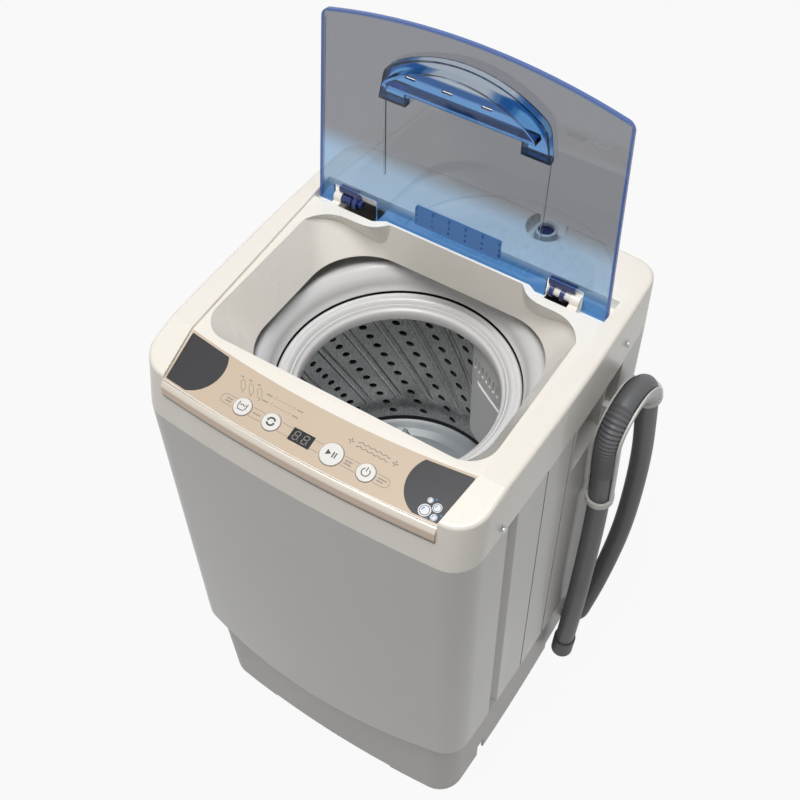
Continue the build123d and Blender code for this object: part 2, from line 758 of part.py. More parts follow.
# Top cover
def funnel(grow):
    """The funnel between the lid ledge and the tub, grown on every side."""
    rear_y = TROUGH_FRONT_Y - WALL
    with BuildPart() as solid:
        with BuildSketch(Plane.XY.offset(FUNNEL_LOW_Z)):
            RectangleRounded(
                2 * (FUNNEL_LOW_HALF_X + grow), 2 * (FUNNEL_LOW_HALF_Y + grow), FUNNEL_LOW_CORNER + grow
            )
        with BuildSketch(Plane.XY.offset(LEDGE_Z)):
            with Locations((0, (FUNNEL_TOP_FRONT_Y + rear_y) / 2)):
                RectangleRounded(
                    2 * (FUNNEL_TOP_HALF + grow),
                    rear_y - FUNNEL_TOP_FRONT_Y + 2 * grow,
                    FUNNEL_TOP_CORNER + grow,
                )
        loft(ruled=True)
    return solid.part


def ledge_half(y):
    """Half the width of the sunken ledge at y."""
    share = (y - PANEL_BACK_Y) / (LEDGE_REAR_Y - PANEL_BACK_Y)
    return LEDGE_HALF_FRONT + share * (LEDGE_HALF_REAR - LEDGE_HALF_FRONT)


def shelf_outline(share):
    """Wavy shelf beside the right hinge, seen from above, with the depth of its wave scaled by share."""
    edge = [(x, TROUGH_FRONT_Y - share * ahead) for x, ahead in SHELF_WAVE]
    with BuildSketch() as outline:
        with BuildLine():
            Spline(*edge, tangents=((1, 0), (1, -2 * share)))
            Polyline(edge[-1], (edge[-1][0], TROUGH_FRONT_Y), edge[0])
        make_face()
    return outline.sketch


def trough(grow):
    """The trough behind the tub opening, deeper towards the front at the hinges, grown on every side."""
    front = TROUGH_FRONT_Y - grow
    bay = HINGE_BAY_FRONT_Y - grow
    bay_x = HINGE_BAY_X - grow
    rear = LEDGE_REAR_Y + grow
    with BuildPart() as space:
        with BuildSketch(Plane.XY.offset(TROUGH_FLOOR_Z - grow)):
            with BuildLine():
                Polyline(
                    (bay_x - HINGE_BAY_SLANT, front),
                    (bay_x, bay),
                    (ledge_half(bay) + grow, bay),
                    (ledge_half(rear) + grow, rear),
                    (-ledge_half(rear) - grow, rear),
                    (-ledge_half(bay) - grow, bay),
                    (-bay_x, bay),
                    (HINGE_BAY_SLANT - bay_x, front),
                    close=True,
                )
            make_face()
        extrude(amount=COVER_HEIGHT)
    return space.part


def panel_outline(inset=0.0):
    """Outline of the control panel seen from above."""
    back_half = PANEL_HALF_BACK - inset
    back_y = PANEL_BACK_Y - inset
    front_half = PANEL_HALF_FRONT - inset
    front_y = PANEL_SIDE_FRONT_Y + inset
    with BuildSketch() as outline:
        with BuildLine():
            ThreePointArc((-back_half, back_y), (0, back_y - PANEL_BACK_BOW), (back_half, back_y))
            Line((back_half, back_y), (front_half, front_y))
            ThreePointArc((front_half, front_y), (0, PANEL_FRONT_Y + inset), (-front_half, front_y))
            Line((-front_half, front_y), (-back_half, back_y))
        make_face()
    return outline.sketch


# Front face of the cover at the trim strip, and the upright axis of its curve
TRIM_MID_Z = panel_z(PANEL_FRONT_Y) - TRIM_HEIGHT / 2
TRIM_SHARE = (TRIM_MID_Z - COVER_Z) / COVER_HEIGHT
TRIM_FACE_Y = JOINT_FRONT_Y + TRIM_SHARE * (TOP_FRONT_Y - JOINT_FRONT_Y)
TRIM_BOW = JOINT_BOW + TRIM_SHARE * (TOP_BOW - JOINT_BOW)
TRIM_CURVE = ((HALF_WIDTH - SIDE_CROWN) ** 2 + TRIM_BOW**2) / (2 * TRIM_BOW)
TRIM_AXIS = Axis((0, TRIM_FACE_Y + TRIM_CURVE, 0), (0, 0, 1))
TRIM_HALF_ARC = degrees(asin(PANEL_HALF_FRONT / TRIM_CURVE))

with BuildPart() as ledge_space:
    with BuildSketch(Plane.XY.offset(HEIGHT - COVER_HEIGHT / 2)):
        with BuildLine():
            Polyline(
                (-PANEL_HALF_FRONT, -FAR),
                (PANEL_HALF_FRONT, -FAR),
                (PANEL_HALF_FRONT, PANEL_SIDE_FRONT_Y),
                (LEDGE_HALF_FRONT, PANEL_BACK_Y),
                (LEDGE_HALF_REAR, LEDGE_REAR_Y),
                (-LEDGE_HALF_REAR, LEDGE_REAR_Y),
                (-LEDGE_HALF_FRONT, PANEL_BACK_Y),
                (-PANEL_HALF_FRONT, PANEL_SIDE_FRONT_Y),
                close=True,
            )
        make_face()
    extrude(amount=COVER_HEIGHT)
    add(space_above(0), mode=Mode.INTERSECT)

with BuildPart() as panel_seat:
    with BuildSketch(Plane.XY.offset(HEIGHT - COVER_HEIGHT / 2)):
        add(panel_outline(-RUNNING))
    extrude(amount=COVER_HEIGHT)
    add(space_above(-PANEL_THICKNESS), mode=Mode.INTERSECT)

with BuildPart() as hinge_shelves:
    with BuildSketch(Plane.XY.offset(LEDGE_Z - SHELF_DEPTH)):
        add(shelf_outline(SHELF_LOW_SHARE))
    with BuildSketch(Plane.XY.offset(LEDGE_Z)):
        add(shelf_outline(1))
    loft(ruled=True)
    mirror(about=Plane.YZ)

with BuildPart() as cover_core:
    add(casing(COVER_SECTIONS, WALL))
    add(space_above(-PANEL_THICKNESS - WALL), mode=Mode.SUBTRACT)
    add(funnel(WALL), mode=Mode.SUBTRACT)
    add(hinge_shelves.part, mode=Mode.SUBTRACT)
    add(trough(WALL), mode=Mode.SUBTRACT)
    with Locations((INLET_X, INLET_Y, HEIGHT)):
        Cylinder(INLET_RECESS_RADIUS + WALL, 2 * (INLET_RECESS_DEPTH + WALL), mode=Mode.SUBTRACT)

with BuildPart() as trim_groove:
    with BuildSketch(Plane.YZ):
        with Locations((TRIM_FACE_Y + TRIM_SEAT - TRIM_PROUD, TRIM_MID_Z)):
            Rectangle(2 * TRIM_PROUD, TRIM_HEIGHT)
    revolve(axis=TRIM_AXIS, revolution_arc=TRIM_HALF_ARC)
    mirror(about=Plane.YZ)


def is_outer_edge(edge):
    """True for an edge that runs along the sides, the rear or the front of the cover."""
    middle = edge.center()
    return abs(middle.X) > HALF_WIDTH / 2 or middle.Y > REAR_Y / 2 or middle.Y < PANEL_SIDE_FRONT_Y + WALL


with BuildPart() as top_cover:
    add(casing(COVER_SECTIONS))
    add(space_above(LEDGE_DEPTH), mode=Mode.SUBTRACT)
    top_edges = top_cover.faces().filter_by(lambda face: face.normal_at().Z > 0.9).edges()
    fillet(top_edges.filter_by(is_outer_edge), COVER_EDGE_RADIUS)
    add(cover_core.part, mode=Mode.SUBTRACT)
    add(ledge_space.part, mode=Mode.SUBTRACT)
    add(panel_seat.part, mode=Mode.SUBTRACT)
    add(funnel(0), mode=Mode.SUBTRACT)
    add(hinge_shelves.part)
    add(trough(0), mode=Mode.SUBTRACT)
    for low_x, high_x in ((RIGHT_SLOT_X, RIGHT_POST_X), (LEFT_POST_X, LEFT_SLOT_X)):
        add(
            box_between(
                (low_x, HINGE_BAY_FRONT_Y, TROUGH_FLOOR_Z - 2 * WALL),
                (high_x, LEDGE_REAR_Y, HEIGHT),
            ),
            mode=Mode.SUBTRACT,
        )
    left_post = (LEFT_POST_X - LEFT_POST_WIDTH, LEFT_POST_WIDTH)
    for low_x, width in ((RIGHT_POST_X, RIGHT_POST_WIDTH), left_post):
        with BuildSketch(Plane.YZ.offset(low_x)):
            with Locations((HINGE_Y, HINGE_Z)):
                Circle(POST_RADIUS)
            with Locations((HINGE_Y, (HINGE_Z + TROUGH_FLOOR_Z - WALL) / 2)):
                Rectangle(2 * POST_RADIUS, HINGE_Z - TROUGH_FLOOR_Z + WALL)
        extrude(amount=width)
        add(
            box_between(
                (low_x, HINGE_BAY_FRONT_Y, TROUGH_FLOOR_Z - WALL),
                (low_x + width, HINGE_Y, LEDGE_Z),
            )
        )
    with BuildSketch(Plane.YZ.offset(RIGHT_POST_X)):
        with Locations((HINGE_Y, HINGE_Z)):
            Circle(PIN_RADIUS)
    extrude(amount=PIN_SEAT, mode=Mode.SUBTRACT)
    with Locations((INLET_X, INLET_Y, HEIGHT)):
        Cylinder(INLET_RECESS_RADIUS, 2 * INLET_RECESS_DEPTH, mode=Mode.SUBTRACT)
        Cylinder(INLET_RADIUS, 4 * INLET_RECESS_DEPTH, mode=Mode.SUBTRACT)
    add(
        box_between(
            (-WINDOW_HALF, WINDOW_FRONT_Y, HEIGHT - COVER_HEIGHT / 2), (WINDOW_HALF, WINDOW_BACK_Y, HEIGHT)
        ),
        mode=Mode.SUBTRACT,
    )
    add(trim_groove.part, mode=Mode.SUBTRACT)
top_cover.part.label = "top_cover"
export_step(top_cover.part, "parts/top_cover.step")

# Front trim strip: a half-round bar sunk a little into the front face of the cover
with BuildPart() as front_trim_strip:
    with BuildSketch(Plane.YZ) as trim_section:
        with BuildLine():
            Line(
                (TRIM_FACE_Y + TRIM_SEAT, TRIM_MID_Z + TRIM_HEIGHT / 2),
                (TRIM_FACE_Y + TRIM_SEAT, TRIM_MID_Z - TRIM_HEIGHT / 2),
            )
            ThreePointArc(
                (TRIM_FACE_Y + TRIM_SEAT, TRIM_MID_Z - TRIM_HEIGHT / 2),
                (TRIM_FACE_Y - TRIM_PROUD, TRIM_MID_Z),
                (TRIM_FACE_Y + TRIM_SEAT, TRIM_MID_Z + TRIM_HEIGHT / 2),
            )
        make_face()
    revolve(axis=TRIM_AXIS, revolution_arc=TRIM_HALF_ARC)
    mirror(about=Plane.YZ)
front_trim_strip.part.label = "front_trim_strip"
export_step(front_trim_strip.part, "parts/front_trim_strip.step")

# Control panel plate, with the dark insets, the display window and the four buttons
PANEL_PLANE = Plane(
    origin=(0, BUTTON_ROW_Y, panel_z(BUTTON_ROW_Y)),
    x_dir=(1, 0, 0),
    z_dir=(0, -sin(radians(PANEL_SLOPE)), cos(radians(PANEL_SLOPE))),
)


def button_radius(name):
    """Radius of a button's cap."""
    return START_RADIUS if name == "start_pause_button" else BUTTON_RADIUS


def inset_outline():
    """Outline of the right dark inset, seen from above."""
    back_corner = (PANEL_HALF_BACK - INSET_EDGE, PANEL_BACK_Y - 2 * INSET_EDGE)
    front_corner = (PANEL_HALF_FRONT - INSET_EDGE, PANEL_SIDE_FRONT_Y + INSET_EDGE)
    with BuildSketch() as outline:
        with BuildLine():
            Line(back_corner, INSET_BACK)
            ThreePointArc(INSET_BACK, INSET_SIDE, INSET_FRONT)
            Line(INSET_FRONT, front_corner)
            Line(front_corner, back_corner)
        make_face()
        fillet(outline.vertices(), INSET_EDGE)
    return outline.sketch


with BuildPart() as inset_recess:
    with BuildSketch(Plane.XY.offset(HEIGHT - COVER_HEIGHT / 2)):
        add(inset_outline())
    extrude(amount=COVER_HEIGHT)
    add(space_above(-INSET_DEPTH), mode=Mode.INTERSECT)

with BuildPart() as control_panel:
    with BuildSketch(Plane.XY.offset(HEIGHT - COVER_HEIGHT / 2)):
        add(panel_outline())
    extrude(amount=COVER_HEIGHT)
    add(space_above(-PANEL_THICKNESS), mode=Mode.INTERSECT)
    add(space_above(0), mode=Mode.SUBTRACT)
    add(both_sides(inset_recess.part), mode=Mode.SUBTRACT)
    with BuildSketch(PANEL_PLANE):
        Rectangle(DISPLAY_WIDTH, DISPLAY_DEPTH)
        for name, x in BUTTON_X.items():
            with Locations((x, 0)):
                Circle(button_radius(name) + LOOSE)
    extrude(amount=2 * PANEL_THICKNESS, both=True, mode=Mode.SUBTRACT)
control_panel.part.label = "control_panel"
export_step(control_panel.part, "parts/control_panel.step")

with BuildPart() as panel_inset_right:
    add(inset_recess.part)
    add(space_above(0), mode=Mode.SUBTRACT)
panel_inset_right.part.label = "panel_inset_right"
export_step(panel_inset_right.part, "parts/panel_inset_right.step")

with BuildPart() as panel_inset_left:
    add(mirror(panel_inset_right.part, about=Plane.YZ))
panel_inset_left.part.label = "panel_inset_left"
export_step(panel_inset_left.part, "parts/panel_inset_left.step")

with BuildPart() as display_window:
    with BuildSketch(PANEL_PLANE.offset(-PANEL_THICKNESS)):
        Rectangle(DISPLAY_WIDTH, DISPLAY_DEPTH)
    extrude(amount=PANEL_THICKNESS + LOOSE)
    chamfer(display_window.faces().sort_by(Axis.Z)[-1].edges(), LOOSE * 0.8)
display_window.part.label = "display_window"
export_step(display_window.part, "parts/display_window.step")

for button_name, button_x in BUTTON_X.items():
    with BuildPart() as button:
        with BuildSketch(PANEL_PLANE.offset(-PANEL_THICKNESS - SEAT_GAP)):
            with Locations((button_x, 0)):
                Circle(button_radius(button_name))
        extrude(amount=PANEL_THICKNESS + SEAT_GAP + BUTTON_RISE)
        fillet(button.edges().sort_by(Axis.Z)[-1], BUTTON_RISE * 0.6)
        with BuildSketch(PANEL_PLANE.offset(-PANEL_THICKNESS - SEAT_GAP)):
            with Locations((button_x, 0)):
                Circle(button_radius(button_name) + BUTTON_FLANGE)
        extrude(amount=-BUTTON_FLANGE)
        with BuildSketch(PANEL_PLANE.offset(-PANEL_THICKNESS - SEAT_GAP - BUTTON_FLANGE)):
            with Locations((button_x, 0)):
                Circle(SWITCH_SIZE / 2)
        extrude(amount=SWITCH_Z + BUTTON_TRAVEL + 2 * RUNNING + PANEL_THICKNESS + SEAT_GAP + BUTTON_FLANGE)
    button.part.label = button_name
    export_step(button.part, f"parts/{button_name}.step")

with BuildPart() as control_board:
    with BuildSketch(PANEL_PLANE.offset(-BOARD_DEPTH)):
        Rectangle(2 * WINDOW_HALF - 4 * TRAY_WALL, 2 * BOARD_HALF_DEPTH)
    extrude(amount=-BOARD_THICKNESS)
    with BuildSketch(PANEL_PLANE.offset(-BOARD_DEPTH)):
        with Locations([(x, 0) for x in BUTTON_X.values()]):
            Rectangle(SWITCH_SIZE, SWITCH_SIZE)
    extrude(amount=BOARD_DEPTH + SWITCH_Z)
    with BuildSketch(PANEL_PLANE.offset(-BOARD_DEPTH)):
        Rectangle(DISPLAY_WIDTH - 2, DISPLAY_DEPTH - 2)
    extrude(amount=BOARD_DEPTH - PANEL_THICKNESS - SEAT_GAP)
control_board.part.label = "control_board"
export_step(control_board.part, "parts/control_board.step")

tray_top = PANEL_THICKNESS + WALL
with BuildPart() as board_tray:
    with BuildSketch(PANEL_PLANE.offset(-TRAY_DEPTH)):
        Rectangle(2 * WINDOW_HALF, 2 * TRAY_HALF_DEPTH)
    extrude(amount=TRAY_DEPTH - tray_top)
    with BuildSketch(PANEL_PLANE.offset(-TRAY_DEPTH + TRAY_WALL)):
        Rectangle(2 * WINDOW_HALF - 6 * TRAY_WALL, 2 * (BOARD_HALF_DEPTH - TRAY_WALL))
    extrude(amount=TRAY_DEPTH, mode=Mode.SUBTRACT)
    with BuildSketch(PANEL_PLANE.offset(-BOARD_DEPTH - BOARD_THICKNESS)):
        Rectangle(2 * WINDOW_HALF - 2 * TRAY_WALL, 2 * (TRAY_HALF_DEPTH - TRAY_WALL))
    extrude(amount=TRAY_DEPTH, mode=Mode.SUBTRACT)
board_tray.part.label = "board_tray"
export_step(board_tray.part, "parts/board_tray.step")

# Lid: plate with a raised rim, notched round the hinge posts
LID_PLANE = Plane(
    origin=(0, HINGE_Y, HINGE_Z),
    x_dir=(1, 0, 0),
    z_dir=(0, -cos(radians(LID_TILT)), sin(radians(LID_TILT))),
)
LID_FACE = LID_PLATE - LID_BACK_SIDE
RIGHT_NOTCH = (RIGHT_SLOT_X, RIGHT_POST_X + RIGHT_POST_WIDTH + NOTCH_SIDE_GAP)
LEFT_NOTCH = (LEFT_POST_X - LEFT_POST_WIDTH - NOTCH_SIDE_GAP, LEFT_SLOT_X)


def lid_outline(inset=0.0):
    """Outline of the lid in its own plane, hinge side low."""
    tail_half = LID_HALF_HINGE - inset
    free_half = LID_HALF_FREE - inset
    with BuildSketch(Plane.XY) as outline:
        with BuildLine():
            Polyline(
                (-free_half, LID_CORNER_REACH - inset),
                (-tail_half, inset - LID_TAIL),
                (tail_half, inset - LID_TAIL),
                (free_half, LID_CORNER_REACH - inset),
            )
            ThreePointArc(
                (free_half, LID_CORNER_REACH - inset),
                (0, LID_CORNER_REACH + LID_BOW - inset),
                (-free_half, LID_CORNER_REACH - inset),
            )
        make_face()
        fillet(outline.vertices().group_by(Axis.Y)[-1], LID_CORNER_RADIUS - inset)
    return outline.sketch


def handle_outline(inset, gap_half, gap_top):
    """Arched outline of the handle in the lid's plane, drawn inset, with a gap in its lower edge."""
    with BuildSketch(Plane.XY) as outline:
        with BuildLine():
            Polyline(
                (-HANDLE_HALF_TOP + inset, HANDLE_SIDE - inset),
                (-HANDLE_HALF + inset, HANDLE_LOW + inset),
                (HANDLE_HALF - inset, HANDLE_LOW + inset),
                (HANDLE_HALF_TOP - inset, HANDLE_SIDE - inset),
            )
            ThreePointArc(
                (HANDLE_HALF_TOP - inset, HANDLE_SIDE - inset),
                (0, HANDLE_TOP - inset),
                (-HANDLE_HALF_TOP + inset, HANDLE_SIDE - inset),
            )
        make_face()
        fillet(outline.vertices().group_by(Axis.Y)[-1], HANDLE_SHOULDER - inset)
        with Locations((0, HANDLE_LOW)):
            Rectangle(2 * gap_half, 2 * (gap_top - HANDLE_LOW), mode=Mode.SUBTRACT)
    return outline.sketch


def handle_tiers(inset=0.0):
    """Outlines of the low tier with its two legs and of the high tier, drawn inset."""
    low_tier = handle_outline(inset, HANDLE_LEG_X + inset, HANDLE_BAND_LOW + inset)
    high_tier = handle_outline(HANDLE_BROW_INSET + inset, FAR, HANDLE_BROW_LOW + inset)
    return low_tier, high_tier


with BuildPart() as lid:
    with BuildSketch(LID_PLANE.offset(-LID_BACK_SIDE)):
        add(lid_outline())
    extrude(amount=LID_PLATE)
    with BuildSketch(LID_PLANE.offset(LID_FACE)):
        add(lid_outline())
        add(lid_outline(LID_RIM_WIDTH), mode=Mode.SUBTRACT)
    extrude(amount=LID_RIM)
    with BuildSketch(LID_PLANE.offset(LID_FACE)):
        for side in (-1, 1):
            with Locations((side * LID_RIB_X, (LID_RIB_LOW + HANDLE_LOW) / 2)):
                Rectangle(LID_RIB_SIZE, HANDLE_LOW - LID_RIB_LOW)
    extrude(amount=LID_RIB_SIZE)
    with BuildSketch(LID_PLANE.offset(-ARM_THICKNESS)):
        for low_x, high_x in (LEFT_NOTCH, RIGHT_NOTCH):
            with Locations(((low_x + high_x) / 2, 0)):
                Rectangle(high_x - low_x, 2 * LID_NOTCH_TOP)
        add(handle_tiers(HANDLE_WALL)[0])
    extrude(amount=3 * ARM_THICKNESS, mode=Mode.SUBTRACT)
lid.part.label = "lid"
export_step(lid.part, "parts/lid.step")


def lid_side(x):
    """Plane square to the hinge at x: first axis out of the lid's inner face, second up the lid."""
    return Plane(origin=(x, HINGE_Y, HINGE_Z), x_dir=LID_PLANE.z_dir, z_dir=(-1, 0, 0))


# Handle: a hollow arch in two tiers, open towards the outer side of the lid, slotted along its brow
with BuildPart() as lid_handle:
    for inset, floor, mode in ((0, 0, Mode.ADD), (HANDLE_WALL, HANDLE_WALL, Mode.SUBTRACT)):
        for outline, depth in zip(handle_tiers(inset), (HANDLE_STEP_DEPTH, HANDLE_DEPTH)):
            with BuildSketch(LID_PLANE.offset(LID_FACE)):
                add(outline)
            extrude(amount=depth - floor, mode=mode)
    with BuildSketch(LID_PLANE.offset(LID_FACE + HANDLE_DEPTH)):
        with Locations([(x, HANDLE_SLOT_Y) for x in HANDLE_SLOT_X]):
            Rectangle(HANDLE_SLOT_LENGTH, HANDLE_SLOT_WIDTH)
    extrude(amount=-2 * HANDLE_WALL, mode=Mode.SUBTRACT)
lid_handle.part.label = "lid_handle"
export_step(lid_handle.part, "parts/lid_handle.step")

# Louvred block low on the inner face
with BuildPart() as lid_slat_block:
    with BuildSketch(lid_side(SLAT_HALF)):
        for row in range(SLAT_COUNT):
            with Locations((LID_FACE, SLAT_LOW + row * SLAT_PITCH)):
                Polygon((0, 0), (SLAT_DEPTH, 0), (SLAT_DEPTH / 3, SLAT_PITCH), (0, SLAT_PITCH), align=None)
    extrude(amount=2 * SLAT_HALF)
    with BuildSketch(LID_PLANE.offset(LID_FACE)):
        with Locations((0, SLAT_LOW + SLAT_COUNT * SLAT_PITCH / 2)):
            with GridLocations((2 * SLAT_HALF - DIVIDER_WIDTH) / (SLAT_DIVIDERS - 1), 0, SLAT_DIVIDERS, 1):
                Rectangle(DIVIDER_WIDTH, SLAT_COUNT * SLAT_PITCH)
    extrude(amount=DIVIDER_DEPTH)
lid_slat_block.part.label = "lid_slat_block"
export_step(lid_slat_block.part, "parts/lid_slat_block.step")

# Hinges: a free pin on the right, a damper on the left, and a foot on the lid with one or two arms for each
hinge_sides = {
    "lid_hinge_right": (RIGHT_KNUCKLES, PIN_RADIUS, RIGHT_ARM_FOOT),
    "lid_hinge_left": (LEFT_KNUCKLES, DAMPER_SHAFT, LEFT_ARM_FOOT),
}
for hinge_name, (knuckles, bore, (foot_start, foot_end)) in hinge_sides.items():
    foot_low = POST_RADIUS + ARM_CLEAR
    with BuildPart() as lid_hinge:
        for knuckle_x in knuckles:
            with BuildSketch(lid_side(knuckle_x + KNUCKLE_WIDTH)):
                Circle(KNUCKLE_RADIUS)
                with Locations((LID_INNER_SIDE - ARM_THICKNESS / 2, foot_low / 2)):
                    Rectangle(ARM_THICKNESS, foot_low)
            extrude(amount=KNUCKLE_WIDTH)
        with BuildSketch(lid_side(foot_end)):
            with Locations((LID_INNER_SIDE - ARM_THICKNESS / 2, (foot_low + LID_NOTCH_TOP) / 2)):
                Rectangle(ARM_THICKNESS, LID_NOTCH_TOP - foot_low)
        extrude(amount=foot_end - foot_start)
        with BuildSketch(lid_side(foot_end)):
            Circle(bore + RUNNING)
        extrude(amount=foot_end - foot_start, mode=Mode.SUBTRACT)
    lid_hinge.part.label = hinge_name
    export_step(lid_hinge.part, f"parts/{hinge_name}.step")

with BuildPart() as hinge_pin:
    with BuildSketch(Plane.YZ.offset(RIGHT_POST_X - PIN_LENGTH)):
        with Locations((HINGE_Y, HINGE_Z)):
            Circle(PIN_RADIUS)
    extrude(amount=PIN_LENGTH + PIN_SEAT)
    with BuildSketch(Plane.YZ.offset(RIGHT_POST_X - PIN_LENGTH)):
        with Locations((HINGE_Y, HINGE_Z)):
            Circle(PIN_FLANGE_RADIUS)
    extrude(amount=-PIN_FLANGE)
hinge_pin.part.label = "hinge_pin"
export_step(hinge_pin.part, "parts/hinge_pin.step")

with BuildPart() as lid_damper:
    with BuildSketch(Plane.YZ.offset(LEFT_POST_X)):
        with Locations((HINGE_Y, HINGE_Z)):
            Circle(DAMPER_RADIUS)
    extrude(amount=DAMPER_LENGTH)
    with BuildSketch(Plane.YZ.offset(LEFT_POST_X + DAMPER_LENGTH)):
        with Locations((HINGE_Y, HINGE_Z)):
            Circle(DAMPER_SHAFT)
    extrude(amount=DAMPER_SHAFT_LENGTH)
lid_damper.part.label = "lid_damper"
export_step(lid_damper.part, "parts/lid_damper.step")

# Water inlet: threaded spigot in the rear deck, valve and fill spout under it
inlet_floor = HEIGHT - INLET_RECESS_DEPTH
with BuildPart() as inlet_fitting:
    with BuildSketch(Plane.XY.offset(inlet_floor)):
        with Locations((INLET_X, INLET_Y)):
            Circle(INLET_RADIUS + INLET_FLANGE)
    extrude(amount=INLET_FLANGE)
    with BuildSketch(Plane.XY.offset(inlet_floor - WALL)):
        with Locations((INLET_X, INLET_Y)):
            Circle(INLET_RADIUS)
    extrude(amount=WALL + INLET_RISE)
    with Locations((INLET_X, INLET_Y, inlet_floor)):
        Cylinder(INLET_BORE, 4 * INLET_RISE, mode=Mode.SUBTRACT)
inlet_fitting.part.label = "inlet_fitting"
export_step(inlet_fitting.part, "parts/inlet_fitting.step")

valve_top = inlet_floor - WALL
with BuildPart() as inlet_valve:
    with Locations((INLET_X, INLET_Y, valve_top)):
        Cylinder(INLET_RADIUS, VALVE_HEIGHT, align=(Align.CENTER, Align.CENTER, Align.MAX))
    with Locations((INLET_X, INLET_Y - INLET_RADIUS, valve_top - VALVE_HEIGHT)):
        Box(VALVE_WIDTH, VALVE_LENGTH, VALVE_HEIGHT / 2, align=(Align.CENTER, Align.MAX, Align.MIN))
        Box(VALVE_WIDTH, INLET_RADIUS, VALVE_HEIGHT / 2, align=(Align.CENTER, Align.MIN, Align.MIN))
inlet_valve.part.label = "inlet_valve"
export_step(inlet_valve.part, "parts/inlet_valve.step")

spout_rear_y = INLET_Y - INLET_RADIUS - VALVE_LENGTH
with BuildPart() as fill_spout:
    with BuildSketch(Plane.YZ.offset(INLET_X - SPOUT_HALF_WIDTH)):
        with BuildLine():
            Polyline(
                (spout_rear_y, valve_top - VALVE_HEIGHT),
                (spout_rear_y, valve_top - VALVE_HEIGHT / 2),
                (SPOUT_FRONT_Y, valve_top - VALVE_HEIGHT / 2),
                (SPOUT_FRONT_Y, SPOUT_MOUTH_Z),
                (SPOUT_FRONT_Y + SPOUT_MOUTH, SPOUT_MOUTH_Z),
                (SPOUT_FRONT_Y + SPOUT_MOUTH, valve_top - VALVE_HEIGHT),
                close=True,
            )
        make_face()
    extrude(amount=2 * SPOUT_HALF_WIDTH)
    offset(amount=-SPOUT_WALL, openings=fill_spout.faces().sort_by(Axis.Z)[0])
fill_spout.part.label = "fill_spout"
export_step(fill_spout.part, "parts/fill_spout.step")

with BuildPart() as water_level_sensor:
    with BuildSketch(Plane.XY.offset(LEDGE_Z - PANEL_THICKNESS - WALL)):
        with Locations((SENSOR_X, SENSOR_Y)):
            Circle(SENSOR_RADIUS)
    extrude(amount=-SENSOR_HEIGHT)
    with BuildSketch(Plane.XY.offset(LEDGE_Z - PANEL_THICKNESS - WALL - SENSOR_HEIGHT)):
        with Locations((SENSOR_X, SENSOR_Y)):
            Circle(SENSOR_RADIUS / 5)
    extrude(amount=-SENSOR_HEIGHT)
water_level_sensor.part.label = "water_level_sensor"
export_step(water_level_sensor.part, "parts/water_level_sensor.step")

with BuildPart() as power_cord_gland:
    with BuildSketch(Plane.XZ.offset(-BASE_REAR_Y - GLAND_PROUD)):
        with Locations((GLAND_X, GLAND_Z)):
            Circle(GLAND_RADIUS)
    extrude(amount=GLAND_PROUD + 3 * WALL)
    with BuildSketch(Plane.XZ.offset(-BASE_REAR_Y - GLAND_PROUD)):
        with Locations((GLAND_X, GLAND_Z)):
            Circle(GLAND_RADIUS / 2)
    extrude(amount=GLAND_PROUD + 3 * WALL, mode=Mode.SUBTRACT)
power_cord_gland.part.label = "power_cord_gland"
export_step(power_cord_gland.part, "parts/power_cord_gland.step")

# Tub, ring, drum and what turns in them: turned about one upright axis
UPRIGHT = Plane.XZ.offset(-AXIS_Y)
TUB_AXIS = Axis((0, AXIS_Y, 0), (0, 0, 1))

with BuildPart() as outer_tub:
    with BuildSketch(UPRIGHT):
        with BuildLine():
            Polyline(
                (SEAL_RADIUS, TUB_BOTTOM),
                (TUB_RADIUS - 2 * TUB_WALL, TUB_BOTTOM),
                (TUB_RADIUS, TUB_BOTTOM + 2 * TUB_WALL),
                (TUB_RADIUS, TUB_TOP),
                (TUB_RADIUS - TUB_WALL, TUB_TOP),
                (TUB_RADIUS - TUB_WALL, TUB_BOTTOM + 3 * TUB_WALL),
                (TUB_RADIUS - 3 * TUB_WALL, TUB_BOTTOM + TUB_WALL),
                (SEAL_RADIUS, TUB_BOTTOM + TUB_WALL),
                close=True,
            )
        make_face()
    revolve(axis=TUB_AXIS)
    with Locations((DRAIN_X, DRAIN_Y, TUB_BOTTOM)):
        Cylinder(PIPE_BORE, 4 * TUB_WALL, mode=Mode.SUBTRACT)
outer_tub.part.label = "outer_tub"
export_step(outer_tub.part, "parts/outer_tub.step")

with BuildPart() as tub_ring:
    with BuildSketch(UPRIGHT):
        with BuildLine():
            Polyline(
                (TUB_RADIUS, TUB_TOP),
                (TUB_RADIUS, TUB_TOP - 5 * TUB_WALL),
                (TUB_RADIUS + TUB_WALL, TUB_TOP - 5 * TUB_WALL),
                (TUB_RADIUS + TUB_WALL, TUB_TOP + TUB_WALL),
                (TUB_RADIUS - 4 * TUB_WALL, RING_TOP),
                (RING_MOUTH, RING_TOP - TUB_WALL / 2),
                (RING_MOUTH, RING_TOP - 5 * TUB_WALL),
                (RING_MOUTH + TUB_WALL, RING_TOP - 5 * TUB_WALL),
                (RING_MOUTH + TUB_WALL, TUB_TOP),
                close=True,
            )
        make_face()
    revolve(axis=TUB_AXIS)
tub_ring.part.label = "tub_ring"
export_step(tub_ring.part, "parts/tub_ring.step")

with BuildPart() as tub_seal:
    with BuildSketch(AXIS.offset(TUB_BOTTOM - FRAME_THICKNESS)):
        Circle(SEAL_RADIUS)
        Circle(SPIN_SHAFT_RADIUS + RUNNING, mode=Mode.SUBTRACT)
    extrude(amount=FRAME_THICKNESS + TUB_WALL)
tub_seal.part.label = "tub_seal"
export_step(tub_seal.part, "parts/tub_seal.step")

